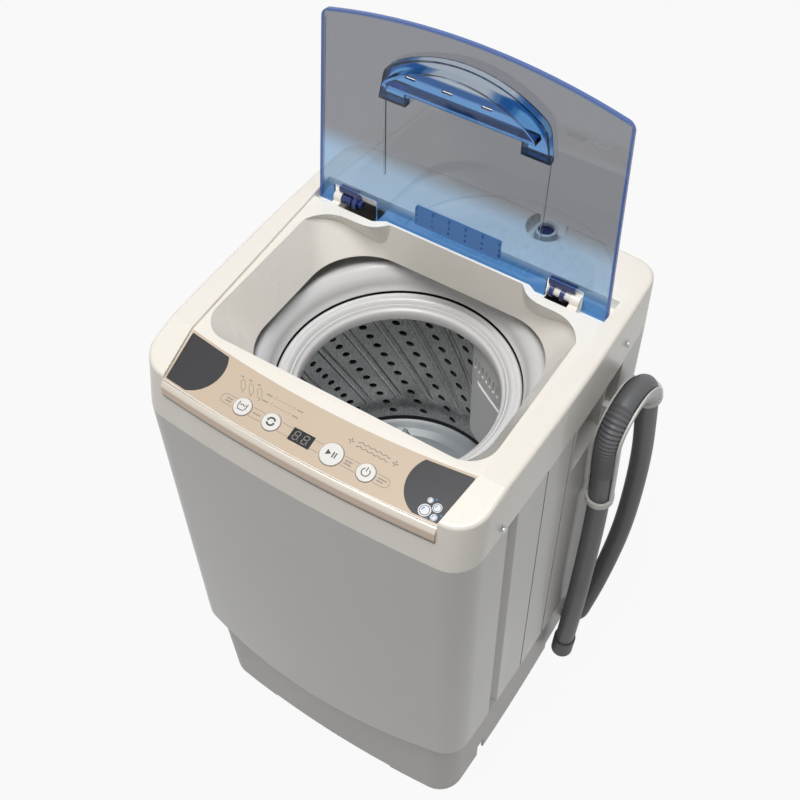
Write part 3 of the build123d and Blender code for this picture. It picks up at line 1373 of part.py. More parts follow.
drum_hole = SHAFT_RADIUS + LOOSE
drum_outside = DRUM_RADIUS + DRUM_WALL
with BuildPart() as drum:
    with BuildSketch(UPRIGHT):
        with BuildLine():
            FilletPolyline(
                (drum_hole, DRUM_BOTTOM),
                (drum_outside, DRUM_BOTTOM),
                (drum_outside, DRUM_TOP),
                radius=DRUM_CORNER + DRUM_WALL,
            )
            Line((drum_outside, DRUM_TOP), (DRUM_RADIUS, DRUM_TOP))
            FilletPolyline(
                (DRUM_RADIUS, DRUM_TOP),
                (DRUM_RADIUS, DRUM_BOTTOM + DRUM_WALL),
                (drum_hole, DRUM_BOTTOM + DRUM_WALL),
                radius=DRUM_CORNER,
            )
            Line((drum_hole, DRUM_BOTTOM + DRUM_WALL), (drum_hole, DRUM_BOTTOM))
        make_face()
    revolve(axis=TUB_AXIS)
drum.part.label = "drum"
export_step(drum.part, "parts/drum.step")

with BuildPart() as balance_ring:
    with BuildSketch(UPRIGHT):
        with Locations(((BALANCE_MOUTH + DRUM_RADIUS) / 2, DRUM_TOP - BALANCE_HEIGHT / 2)):
            Rectangle(DRUM_RADIUS - BALANCE_MOUTH, BALANCE_HEIGHT)
        with Locations(((BALANCE_MOUTH + DRUM_RADIUS + 2 * DRUM_WALL) / 2, DRUM_TOP + BALANCE_LIP / 2)):
            Rectangle(DRUM_RADIUS + 2 * DRUM_WALL - BALANCE_MOUTH, BALANCE_LIP)
    revolve(axis=TUB_AXIS)
    top_circles = balance_ring.edges().filter_by(GeomType.CIRCLE).group_by(Axis.Z)[-1]
    fillet(top_circles.sort_by(SortBy.RADIUS)[0], BALANCE_ROUND)
balance_ring.part.label = "balance_ring"
export_step(balance_ring.part, "parts/balance_ring.step")

with BuildPart() as drum_hub:
    with BuildSketch(UPRIGHT):
        with BuildLine():
            Polyline(
                (SHAFT_RADIUS + RUNNING, DRUM_BOTTOM),
                (HUB_RADIUS, DRUM_BOTTOM),
                (HUB_RADIUS, DRUM_BOTTOM - HUB_FLANGE),
                (2 * SPIN_SHAFT_RADIUS, TUB_BOTTOM + TUB_WALL + SEAT_GAP),
                (SPIN_SHAFT_RADIUS, TUB_BOTTOM + TUB_WALL + SEAT_GAP),
                (SPIN_SHAFT_RADIUS, SPIN_SHAFT_LOW_Z),
                (SHAFT_RADIUS + RUNNING, SPIN_SHAFT_LOW_Z),
                close=True,
            )
        make_face()
    revolve(axis=TUB_AXIS)
drum_hub.part.label = "drum_hub"
export_step(drum_hub.part, "parts/drum_hub.step")

pulsator_z = DRUM_BOTTOM + DRUM_WALL + PULSATOR_GAP
with BuildPart() as pulsator:
    with BuildSketch(UPRIGHT):
        with BuildLine():
            Polyline(
                (0, SPIN_SHAFT_LOW_Z),
                (SHAFT_RADIUS, SPIN_SHAFT_LOW_Z),
                (SHAFT_RADIUS, pulsator_z),
                (PULSATOR_RADIUS, pulsator_z),
                (PULSATOR_RADIUS, pulsator_z + PULSATOR_RIM),
                (PULSATOR_RADIUS - PULSATOR_RIM, pulsator_z + PULSATOR_RIM / 2),
                (PULSATOR_CAP, pulsator_z + PULSATOR_RIM),
                (PULSATOR_CAP, pulsator_z + PULSATOR_RISE / 2),
            )
            TangentArc(
                (0, pulsator_z + PULSATOR_RISE),
                (PULSATOR_CAP, pulsator_z + PULSATOR_RISE / 2),
                tangent=(1, 0),
            )
            Line((0, pulsator_z + PULSATOR_RISE), (0, SPIN_SHAFT_LOW_Z))
        make_face()
    revolve(axis=TUB_AXIS)
    with BuildSketch(AXIS.offset(pulsator_z + PULSATOR_RIM / 2)):
        with PolarLocations(VANE_MIDDLE, PULSATOR_VANES):
            SlotOverall(VANE_LENGTH, VANE_WIDTH)
    extrude(amount=VANE_RISE, taper=VANE_TAPER)
pulsator.part.label = "pulsator"
export_step(pulsator.part, "parts/pulsator.step")

# Lint filter: a tall panel on the drum wall with a comb of slots over a finger grip, hinged at its foot
FILTER_PLANE = Plane(
    origin=(
        FILTER_BACK * cos(radians(FILTER_ANGLE)),
        AXIS_Y + FILTER_BACK * sin(radians(FILTER_ANGLE)),
        FILTER_LOW_Z,
    ),
    x_dir=(sin(radians(FILTER_ANGLE)), -cos(radians(FILTER_ANGLE)), 0),
    z_dir=(-cos(radians(FILTER_ANGLE)), -sin(radians(FILTER_ANGLE)), 0),
)
with BuildPart() as lint_filter:
    with BuildSketch(FILTER_PLANE):
        with Locations((0, FILTER_HEIGHT / 2)):
            RectangleRounded(FILTER_WIDTH, FILTER_HEIGHT, FILTER_CORNER)
    extrude(amount=FILTER_THICKNESS)
    fillet(lint_filter.faces().sort_by(Axis((0, AXIS_Y, 0), FILTER_PLANE.z_dir))[-1].edges(), FILTER_EDGE)
    with BuildSketch(FILTER_PLANE.offset(FILTER_THICKNESS)):
        with Locations((0, FILTER_SLOT_Z)):
            with GridLocations(FILTER_WIDTH / (FILTER_SLOTS + 1), 0, FILTER_SLOTS, 1):
                Rectangle(FILTER_SLOT_WIDTH, FILTER_SLOT_HEIGHT)
    extrude(amount=-FILTER_SLOT_DEPTH, mode=Mode.SUBTRACT)
    with BuildSketch(FILTER_PLANE.offset(FILTER_THICKNESS)):
        with Locations((0, FILTER_GRIP_Z)):
            SlotOverall(FILTER_GRIP_WIDTH, FILTER_GRIP_HEIGHT)
    extrude(amount=-FILTER_GRIP_DEPTH, mode=Mode.SUBTRACT)
lint_filter.part.label = "lint_filter"
export_step(lint_filter.part, "parts/lint_filter.step")

# Support frame under the tub, with an arm to each rod
frame_z = TUB_BOTTOM - FRAME_THICKNESS
with BuildPart() as tub_frame:
    with BuildSketch(Plane.XY.offset(frame_z)):
        with Locations((0, AXIS_Y)):
            Circle(FRAME_HUB)
        with Locations((MOTOR_X, MOTOR_Y)):
            Circle(MOTOR_RADIUS - FRAME_THICKNESS)
        for x, y in ROD_PLACES:
            with Locations(Location((x / 2, (y + AXIS_Y) / 2, 0), (0, 0, degrees(atan2(y - AXIS_Y, x))))):
                SlotCenterToCenter(hypot(x, y - AXIS_Y), ARM_WIDTH)
        with Locations((0, AXIS_Y)):
            Circle(SEAL_RADIUS, mode=Mode.SUBTRACT)
        with Locations(ROD_PLACES):
            Circle(ROD_RADIUS + LOOSE, mode=Mode.SUBTRACT)
    extrude(amount=FRAME_THICKNESS)
tub_frame.part.label = "tub_frame"
export_step(tub_frame.part, "parts/tub_frame.step")

# Suspension: a rod in each corner, a cup under each arm and a spring between cup and rod foot
rod_foot_z = TUB_BOTTOM - ROD_FOOT_DROP
for rod_name, (x, y) in zip(("front_left", "front_right", "rear_left", "rear_right"), ROD_PLACES):
    with BuildPart() as rod:
        with Locations((x, y, rod_foot_z)):
            Cylinder(ROD_FOOT_RADIUS, ROD_FOOT_HEIGHT, align=(Align.CENTER, Align.CENTER, Align.MIN))
            Cylinder(ROD_RADIUS, ROD_SEAT_Z - rod_foot_z, align=(Align.CENTER, Align.CENTER, Align.MIN))
        with Locations((x, y, ROD_SEAT_Z)):
            Sphere(ROD_HEAD, arc_size1=0, align=(Align.CENTER, Align.CENTER, Align.MIN))
    rod.part.label = f"suspension_rod_{rod_name}"
    export_step(rod.part, f"parts/suspension_rod_{rod_name}.step")

with BuildPart() as suspension_cups:
    with BuildSketch(Plane.XY.offset(frame_z)):
        with Locations(ROD_PLACES):
            Circle(CUP_RADIUS)
            Circle(ROD_RADIUS + LOOSE, mode=Mode.SUBTRACT)
    extrude(amount=-CUP_HEIGHT, taper=CUP_TAPER)
suspension_cups.part.label = "suspension_cups"
export_step(suspension_cups.part, "parts/suspension_cups.step")

with BuildPart() as suspension_springs:
    with BuildSketch(Plane.XY.offset(rod_foot_z + ROD_FOOT_HEIGHT)):
        with Locations(ROD_PLACES):
            Circle(SPRING_RADIUS)
            Circle(SPRING_RADIUS - SPRING_WALL, mode=Mode.SUBTRACT)
    extrude(amount=frame_z - CUP_HEIGHT - rod_foot_z - ROD_FOOT_HEIGHT)
suspension_springs.part.label = "suspension_springs"
export_step(suspension_springs.part, "parts/suspension_springs.step")

# Drive: gearbox on the axis, motor beside it, belt between their pulleys
with BuildPart() as gearbox:
    with BuildSketch(AXIS.offset(frame_z)):
        Circle(GEARBOX_RADIUS + 5 * FRAME_THICKNESS)
    extrude(amount=-2 * FRAME_THICKNESS)
    with BuildSketch(AXIS.offset(frame_z)):
        Circle(GEARBOX_RADIUS)
    extrude(amount=-GEARBOX_HEIGHT)
    with BuildSketch(AXIS.offset(frame_z)):
        Circle(SPIN_SHAFT_RADIUS + RUNNING)
    extrude(amount=SPIN_SHAFT_LOW_Z - LOOSE - frame_z, mode=Mode.SUBTRACT)
    with BuildSketch(AXIS.offset(frame_z - GEARBOX_HEIGHT)):
        Circle(SHAFT_RADIUS + RUNNING)
    extrude(amount=INPUT_SHAFT_DEPTH + LOOSE, mode=Mode.SUBTRACT)
gearbox.part.label = "gearbox"
export_step(gearbox.part, "parts/gearbox.step")

with BuildPart() as motor:
    with BuildSketch(Plane.XY.offset(frame_z)):
        with Locations((MOTOR_X, MOTOR_Y)):
            Circle(MOTOR_RADIUS)
    extrude(amount=-MOTOR_HEIGHT)
    fillet(motor.edges().filter_by(GeomType.CIRCLE), MOTOR_ROUND)
    with BuildSketch(Plane.XY.offset(frame_z - MOTOR_HEIGHT)):
        with Locations((MOTOR_X, MOTOR_Y)):
            Circle(MOTOR_SHAFT + RUNNING)
    extrude(amount=INPUT_SHAFT_DEPTH + LOOSE, mode=Mode.SUBTRACT)
motor.part.label = "motor"
export_step(motor.part, "parts/motor.step")

pulley_top = frame_z - GEARBOX_HEIGHT - PULLEY_DROP
belt_mid = pulley_top - PULLEY_HEIGHT / 2
pulleys = {
    "drive_pulley": (0, AXIS_Y, PULLEY_RADIUS, SHAFT_RADIUS, GEARBOX_HEIGHT),
    "motor_pulley": (MOTOR_X, MOTOR_Y, MOTOR_PULLEY_RADIUS, MOTOR_SHAFT, MOTOR_HEIGHT),
}
for pulley_name, (x, y, radius, shaft, height) in pulleys.items():
    shaft_top = frame_z - height + INPUT_SHAFT_DEPTH
    with BuildPart() as pulley:
        with BuildSketch(Plane.XZ.offset(-y)):
            with BuildLine():
                Polyline(
                    (x, belt_mid - PULLEY_HEIGHT / 2),
                    (x + radius + RIM, belt_mid - PULLEY_HEIGHT / 2),
                    (x + radius + RIM, belt_mid - BELT_WIDTH / 2 - LOOSE),
                    (x + radius, belt_mid - BELT_WIDTH / 2 - LOOSE),
                    (x + radius, belt_mid + BELT_WIDTH / 2 + LOOSE),
                    (x + radius + RIM, belt_mid + BELT_WIDTH / 2 + LOOSE),
                    (x + radius + RIM, pulley_top),
                    (x + shaft, pulley_top),
                    (x + shaft, shaft_top),
                    (x, shaft_top),
                    close=True,
                )
            make_face()
        revolve(axis=Axis((x, y, 0), (0, 0, 1)))
    pulley.part.label = pulley_name
    export_step(pulley.part, f"parts/{pulley_name}.step")

with BuildPart() as drive_belt:
    for grow, mode in ((BELT_THICKNESS, Mode.ADD), (0, Mode.SUBTRACT)):
        with BuildSketch(Plane.XY.offset(belt_mid - BELT_WIDTH / 2)):
            with BuildSketch(mode=Mode.PRIVATE) as loop_ends:
                with Locations((0, AXIS_Y)):
                    Circle(PULLEY_RADIUS + 2 * RUNNING + grow)
                with Locations((MOTOR_X, MOTOR_Y)):
                    Circle(MOTOR_PULLEY_RADIUS + 2 * RUNNING + grow)
            make_hull(loop_ends.sketch.edges())
        extrude(amount=BELT_WIDTH, mode=mode)
drive_belt.part.label = "drive_belt"
export_step(drive_belt.part, "parts/drive_belt.step")

# Drain: valve under the tub, rubber bellows, and the pipe that leaves through the side of the base
with BuildPart() as drain_valve:
    with Locations((DRAIN_X, DRAIN_Y, TUB_BOTTOM)):
        Cylinder(DRAIN_VALVE_RADIUS, DRAIN_VALVE_HEIGHT, align=(Align.CENTER, Align.CENTER, Align.MAX))
        Cylinder(PIPE_BORE, 4 * DRAIN_VALVE_HEIGHT, mode=Mode.SUBTRACT)
drain_valve.part.label = "drain_valve"
export_step(drain_valve.part, "parts/drain_valve.step")

with BuildPart() as drain_bellows:
    with BuildSketch(Plane.XY.offset(BELLOWS_LOW_Z)):
        with Locations((DRAIN_X, DRAIN_Y)):
            Circle(BELLOWS_RADIUS)
            Circle(BELLOWS_RADIUS - BELLOWS_WALL, mode=Mode.SUBTRACT)
    extrude(amount=TUB_BOTTOM - DRAIN_VALVE_HEIGHT - BELLOWS_LOW_Z)
drain_bellows.part.label = "drain_bellows"
export_step(drain_bellows.part, "parts/drain_bellows.step")

# Route of the hose, from its free end by the near leg and the bend at the top to the pipe
OUTLET_HEADING = Vector(5, 16, 32).normalized()
PIPE_CORNER = Vector(HALF_WIDTH + PIPE_STAND_OFF, PIPE_EXIT_Y, PIPE_Z)
PIPE_MOUTH = PIPE_CORNER + OUTLET_HEADING * PIPE_RISER


def on_bend(y, z):
    """Point in the upright plane of the bend."""
    return Vector(BEND_X + BEND_SLANT * (y - BEND_Y), y, z)


HOSE_ROUTE = [
    Vector(222, 87, 27),
    Vector(226.5, 83, 110),
    Vector(230.5, 80.5, 200),
    Vector(231.6, 84, 300),
    on_bend(86.5, 400),
    on_bend(80, 490),
    on_bend(70, 588),
    on_bend(118, 615.5),
    on_bend(166, 588),
    on_bend(186, 500),
    on_bend(206, 405),
    Vector(236.8, 210.5, 310),
    Vector(235.5, 206, 220),
    Vector(230.5, 190, 145),
    PIPE_MOUTH + OUTLET_HEADING * OUTLET_RUN,
    PIPE_MOUTH,
]
BEND_FIRST = 6
BEND_LAST = 8


def route_radius(index):
    """Radius of the arc at a corner of the route: as large as its two runs allow."""
    run_in = HOSE_ROUTE[index] - HOSE_ROUTE[index - 1]
    run_out = HOSE_ROUTE[index + 1] - HOSE_ROUTE[index]
    half_turn = radians(run_in.get_angle(run_out)) / 2
    return ARC_SHARE * min(run_in.length, run_out.length) / tan(half_turn)


def along(index, share):
    """Point on the run that starts at a corner of the route."""
    return HOSE_ROUTE[index] + (HOSE_ROUTE[index + 1] - HOSE_ROUTE[index]) * share


def stretch(start, first, last, end):
    """Tangent runs and arcs of the route from start to end, through the corners first to last."""
    with BuildLine() as path:
        FilletPolyline(
            start,
            *HOSE_ROUTE[first : last + 1],
            end,
            radius=[route_radius(index) for index in range(first, last + 1)],
        )
    return path.wire()


def square_plane(path, x_dir=None):
    """Plane square to the start of a path."""
    return Plane(origin=path @ 0, x_dir=x_dir, z_dir=path % 0)


NEAR_CUT = along(BEND_FIRST - 2, BEND_CUT_BEFORE)
FAR_CUT = along(BEND_LAST, BEND_CUT_AFTER)
near_path = stretch(HOSE_ROUTE[0], 1, BEND_FIRST - 2, NEAR_CUT)
bend_path = stretch(NEAR_CUT, BEND_FIRST - 1, BEND_LAST, FAR_CUT)
far_path = stretch(FAR_CUT, BEND_LAST + 1, len(HOSE_ROUTE) - 2, HOSE_ROUTE[-1])
print("hose radii", [round(route_radius(index)) for index in range(1, len(HOSE_ROUTE) - 1)])
print("hose length", round(near_path.length + bend_path.length + far_path.length))

for hose_name, path in (("drain_hose_free_leg", near_path), ("drain_hose_fixed_leg", far_path)):
    with BuildPart() as hose:
        with BuildSketch(square_plane(path)):
            Circle(HOSE_RADIUS)
            Circle(HOSE_BORE, mode=Mode.SUBTRACT)
        sweep(path=path)
    section = pi * (HOSE_RADIUS**2 - HOSE_BORE**2)
    print(hose_name, "volume", round(hose.part.volume), "section x length", round(section * path.length))
    hose.part.label = hose_name
    export_step(hose.part, f"parts/{hose_name}.step")

# Bend: smooth at both ends, ribbed between, one circle after another along the path
BEND_SIDE = Vector(1, -BEND_SLANT, 0).normalized()
bend_circles = [(RIBS_START * step / LEAD_IN_STEPS, HOSE_RADIUS) for step in range(LEAD_IN_STEPS)]
for rib in range(RIB_COUNT):
    for share, radius in RIB_PROFILE:
        bend_circles.append((RIBS_START + (rib + share) * RIB_PITCH, radius))
smooth_start = RIBS_START + RIB_COUNT * RIB_PITCH
smooth_step = (bend_path.length - smooth_start) / LEAD_OUT_STEPS
bend_circles += [(smooth_start + smooth_step * step, HOSE_RADIUS) for step in range(LEAD_OUT_STEPS + 1)]
with BuildPart() as drain_hose_bend:
    for distance, radius in bend_circles:
        at = min(distance / bend_path.length, 1)
        with BuildSketch(Plane(origin=bend_path @ at, x_dir=BEND_SIDE, z_dir=bend_path % at)):
            Circle(radius)
    loft(ruled=True)
    with BuildSketch(square_plane(bend_path)):
        Circle(HOSE_BORE)
    sweep(path=bend_path, mode=Mode.SUBTRACT)
drain_hose_bend.part.label = "drain_hose_bend"
export_step(drain_hose_bend.part, "parts/drain_hose_bend.step")

# Guide: a channel on the inner side of the bend, closed to a ring at each end, clipped to the hand grip
guide_bore = RIB_CREST + GUIDE_GAP
with BuildPart() as hose_guide:
    with BuildSketch(Plane(origin=bend_path @ 0, x_dir=BEND_SIDE, z_dir=bend_path % 0)):
        Circle(guide_bore + GUIDE_WALL)
        Circle(guide_bore, mode=Mode.SUBTRACT)
        with Locations((0, -GUIDE_LIP - 2 * guide_bore)):
            Rectangle(4 * guide_bore, 4 * guide_bore, mode=Mode.SUBTRACT)
    sweep(path=bend_path)
    for end, sign in ((0, 1), (1, -1)):
        with BuildSketch(Plane(origin=bend_path @ end, x_dir=BEND_SIDE, z_dir=bend_path % end)):
            Circle(guide_bore + GUIDE_WALL + COLLAR_PROUD)
            Circle(guide_bore - COLLAR_GRIP, mode=Mode.SUBTRACT)
        extrude(amount=sign * GUIDE_RING)
    clip_y = GRIP_DIVIDER_Y + WALL / 2
    add(
        box_between(
            (HALF_WIDTH - WALL, clip_y - CLIP_WIDTH / 2, CLIP_Z - CLIP_WIDTH / 2),
            (BEND_X - guide_bore - GUIDE_WALL / 2, clip_y + CLIP_WIDTH / 2, CLIP_Z + CLIP_WIDTH / 2),
        )
    )
hose_guide.part.label = "hose_guide"
export_step(hose_guide.part, "parts/hose_guide.step")

with BuildPart() as hose_cuff:
    with BuildSketch(square_plane(near_path)):
        Circle(CUFF_RADIUS)
        Circle(HOSE_RADIUS, mode=Mode.SUBTRACT)
    extrude(amount=CUFF_LENGTH)
    chamfer(hose_cuff.edges().filter_by(GeomType.CIRCLE).group_by(SortBy.RADIUS)[-1], CUFF_BEVEL)
hose_cuff.part.label = "hose_cuff"
export_step(hose_cuff.part, "parts/hose_cuff.step")

with BuildLine() as pipe_line:
    FilletPolyline(
        (DRAIN_X, DRAIN_Y, BELLOWS_LOW_Z),
        (DRAIN_X, DRAIN_Y, PIPE_Z),
        (PIPE_INNER_X, PIPE_EXIT_Y, PIPE_Z),
        PIPE_CORNER,
        PIPE_MOUTH,
        radius=[PIPE_BEND, PIPE_BEND, PIPE_ELBOW],
    )
pipe_path = pipe_line.wire()
mouth_plane = Plane(origin=PIPE_MOUTH, z_dir=OUTLET_HEADING)
with BuildPart() as drain_pipe:
    with BuildSketch(square_plane(pipe_path)):
        Circle(PIPE_RADIUS)
    sweep(path=pipe_path)
    with BuildSketch(mouth_plane):
        Circle(HOSE_BORE - RUNNING)
    extrude(amount=NIPPLE_LENGTH)
    with BuildSketch(square_plane(pipe_path)):
        Circle(PIPE_BORE)
    sweep(path=pipe_path, mode=Mode.SUBTRACT)
    with BuildSketch(mouth_plane):
        Circle(PIPE_BORE)
    extrude(amount=2 * NIPPLE_LENGTH, mode=Mode.SUBTRACT)
drain_pipe.part.label = "drain_pipe"
export_step(drain_pipe.part, "parts/drain_pipe.step")
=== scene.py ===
import math

import bpy
from mathutils import Matrix, Vector


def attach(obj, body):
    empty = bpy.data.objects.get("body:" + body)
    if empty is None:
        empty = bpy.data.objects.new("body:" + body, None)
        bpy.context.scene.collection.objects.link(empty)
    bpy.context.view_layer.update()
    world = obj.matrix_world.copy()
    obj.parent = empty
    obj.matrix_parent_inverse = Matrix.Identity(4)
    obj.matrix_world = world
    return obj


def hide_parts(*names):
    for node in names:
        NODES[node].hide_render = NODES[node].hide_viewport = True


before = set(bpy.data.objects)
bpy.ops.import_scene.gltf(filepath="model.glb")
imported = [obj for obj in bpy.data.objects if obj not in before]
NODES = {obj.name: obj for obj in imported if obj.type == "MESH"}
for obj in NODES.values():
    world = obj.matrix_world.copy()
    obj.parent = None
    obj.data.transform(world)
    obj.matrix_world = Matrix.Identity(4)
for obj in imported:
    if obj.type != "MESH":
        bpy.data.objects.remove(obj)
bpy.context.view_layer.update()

# ---- Camera, at the place from which the photograph was taken: its lens, axes and place come from a fit

camera_data = bpy.data.cameras.new("camera")
camera_data.sensor_width = 36
camera_data.lens = 53.35
camera = bpy.data.objects.new("camera", camera_data)
bpy.context.scene.collection.objects.link(camera)
RIGHT = Vector((0.8384, 0.5448, -0.0155))
FORWARD = Vector((-0.3451, 0.5087, -0.7888))
UP = Vector((-0.4218, 0.6667, 0.6145))
turn = Matrix((RIGHT, UP, -FORWARD)).transposed().to_4x4()
camera.matrix_world = Matrix.Translation((0.4757, -0.7012, 1.6580)) @ turn
bpy.context.scene.camera = camera


# ---- Materials

# Grain and brush marks are given in millimetres. The real ones are finer than 0.3 mm, which is too fine to
# show from the camera, so every material draws them coarser, at 0.5 to 1.4 mm.
# Clouds are the faint wide differences of colour and gloss that a large moulding has.
CLOUD_MM = 111
CLOUD_GLOSS = (0.96, 1.05)
GRAIN_DEPTH = 0.0002
BRUSH_GLOSS = (0.88, 1.15)
BRUSH_DEPTH = 0.0001
LACQUER_ROUGHNESS = 0.08
STYRENE_IOR = 1.5
STYRENE_ROUGHNESS = 0.02
STYRENE_DEPTH_COLOUR = "#4878C0"

# Sockets of the Mix node for colours
MIX_A = 6
MIX_B = 7
MIX_RESULT = 2
# A share that is eased at both ends
SMOOTH = {"interpolation_type": "SMOOTHSTEP"}

# Lid: places in metres, measured from its hinge
LID_HINGE_Z = 0.7138
LID_HALF_AT_HINGE = 0.188
LID_SIDE_TAPER = 0.0487
LID_HALF_FREE = 0.1763
LID_LENGTH = 0.2616
LID_BOW = 0.0225
LID_EDGE_WIDTH = 0.0036
LID_EDGE_CORE = 0.6 * LID_EDGE_WIDTH
LID_EDGE_DENSITY = 0.75
LID_FOOT = (0.012, 0.024)
LID_BLUE_TO_GREY = (0.060, 0.100)

# Handle of the lid: the line of its doubled wall, which runs straight and then bends down at both ends
GRIP_WALL_ALONG = 0.2195
GRIP_STRAIGHT_HALF = 0.062
GRIP_END_CURVE = 25.0
GRIP_FACE_FADE = (-0.001, 0.004)
GRIP_WALL_FADE = (0.0060, 0.0030)

# Trim strip: the top and height of its solid, how much taller it is drawn, and the heights above its foot of
# its painted shadow, its face and its painted highlight
TRIM_TOP_Z = 0.6970
TRIM_HEIGHT = 0.0125
TRIM_STRETCH = 2.3
TRIM_FOOT_Z = TRIM_TOP_Z - TRIM_HEIGHT * TRIM_STRETCH
TRIM_SHADOW_TO_FACE = (TRIM_FOOT_Z + 0.0060, TRIM_FOOT_Z + 0.0150)
TRIM_FACE_TO_HIGHLIGHT = (TRIM_FOOT_Z + 0.0200, TRIM_FOOT_Z + 0.0240)


def linear(code):
    """An sRGB hex colour as linear RGBA."""
    parts = [int(code[i:i + 2], 16) / 255 for i in (1, 3, 5)]
    return (*[c / 12.92 if c <= 0.04045 else ((c + 0.055) / 1.055) ** 2.4 for c in parts], 1)


def add_node(tree, kind, settings=None, links=None, output=0):
    """Adds a shader node, sets its properties and inputs, links its inputs and gives one output."""
    made = tree.nodes.new(kind)
    for key, value in (settings or {}).items():
        if isinstance(key, int) or key in made.inputs:
            made.inputs[key].default_value = value
        else:
            setattr(made, key, value)
    for key, source in (links or {}).items():
        tree.links.new(source, made.inputs[key])
    return made.outputs[output]


def start_material(name):
    """A new material with its Principled shader and its object coordinates."""
    material = bpy.data.materials.new(name)
    material.use_nodes = True
    tree = material.node_tree
    shader = tree.nodes["Principled BSDF"]
    return material, tree, shader, add_node(tree, "ShaderNodeTexCoord", output="Object")


def moulded(name, colour, second, roughness, grain_mm, bump, coat=0.0):
    """Moulded or painted surface: fine grain in the relief, and faint clouds of colour and gloss."""
    material, tree, shader, place = start_material(name)
    grain = add_node(
        tree, "ShaderNodeTexNoise", {"Scale": 1000 / grain_mm, "Detail": 2}, {"Vector": place},
    )
    cloud = add_node(
        tree, "ShaderNodeTexNoise", {"Scale": 1000 / CLOUD_MM, "Detail": 3}, {"Vector": place},
    )
    tint = add_node(
        tree, "ShaderNodeMix",
        {"data_type": "RGBA", MIX_A: linear(colour), MIX_B: linear(second)}, {"Factor": cloud}, MIX_RESULT,
    )
    tree.links.new(tint, shader.inputs["Base Color"])
    gloss = add_node(
        tree, "ShaderNodeMapRange",
        {"To Min": roughness * CLOUD_GLOSS[0], "To Max": roughness * CLOUD_GLOSS[1]}, {"Value": cloud},
    )
    tree.links.new(gloss, shader.inputs["Roughness"])
    relief = add_node(
        tree, "ShaderNodeBump", {"Strength": bump, "Distance": GRAIN_DEPTH}, {"Height": grain},
    )
    tree.links.new(relief, shader.inputs["Normal"])
    shader.inputs["Coat Weight"].default_value = coat
    shader.inputs["Coat Roughness"].default_value = LACQUER_ROUGHNESS
    return material


def metal(name, colour, roughness, brush_mm, direction, bump):
    """Bare metal with fine brush or rolling marks along one direction."""
    material, tree, shader, place = start_material(name)
    stretch = add_node(tree, "ShaderNodeMapping", {"Scale": direction}, {"Vector": place})
    marks = add_node(
        tree, "ShaderNodeTexNoise", {"Scale": 1000 / brush_mm, "Detail": 4}, {"Vector": stretch},
    )
    shader.inputs["Base Color"].default_value = linear(colour)
    shader.inputs["Metallic"].default_value = 1
    gloss = add_node(
        tree, "ShaderNodeMapRange",
        {"To Min": roughness * BRUSH_GLOSS[0], "To Max": roughness * BRUSH_GLOSS[1]}, {"Value": marks},
    )
    tree.links.new(gloss, shader.inputs["Roughness"])
    relief = add_node(
        tree, "ShaderNodeBump", {"Strength": bump, "Distance": BRUSH_DEPTH}, {"Height": marks},
    )
    tree.links.new(relief, shader.inputs["Normal"])
    return material


def clear_plastic(name, density):
    """Clear tinted styrene: light passes the wall and deepens in colour with its thickness."""
    material, tree, shader, place = start_material(name)
    shader.inputs["Transmission Weight"].default_value = 1
    shader.inputs["Roughness"].default_value = STYRENE_ROUGHNESS
    shader.inputs["IOR"].default_value = STYRENE_IOR
    depth = add_node(
        tree, "ShaderNodeVolumeAbsorption", {"Color": linear(STYRENE_DEPTH_COLOUR), "Density": density},
    )
    tree.links.new(depth, tree.nodes["Material Output"].inputs["Volume"])
    parts = add_node(tree, "ShaderNodeSeparateXYZ", {}, {"Vector": place}).node
    across = add_node(tree, "ShaderNodeMath", {"operation": "ABSOLUTE"}, {0: parts.outputs["X"]})
    along = add_node(
        tree, "ShaderNodeMath", {"operation": "SUBTRACT", 1: LID_HINGE_Z}, {0: parts.outputs["Z"]},
    )
    return material, tree, shader, across, along


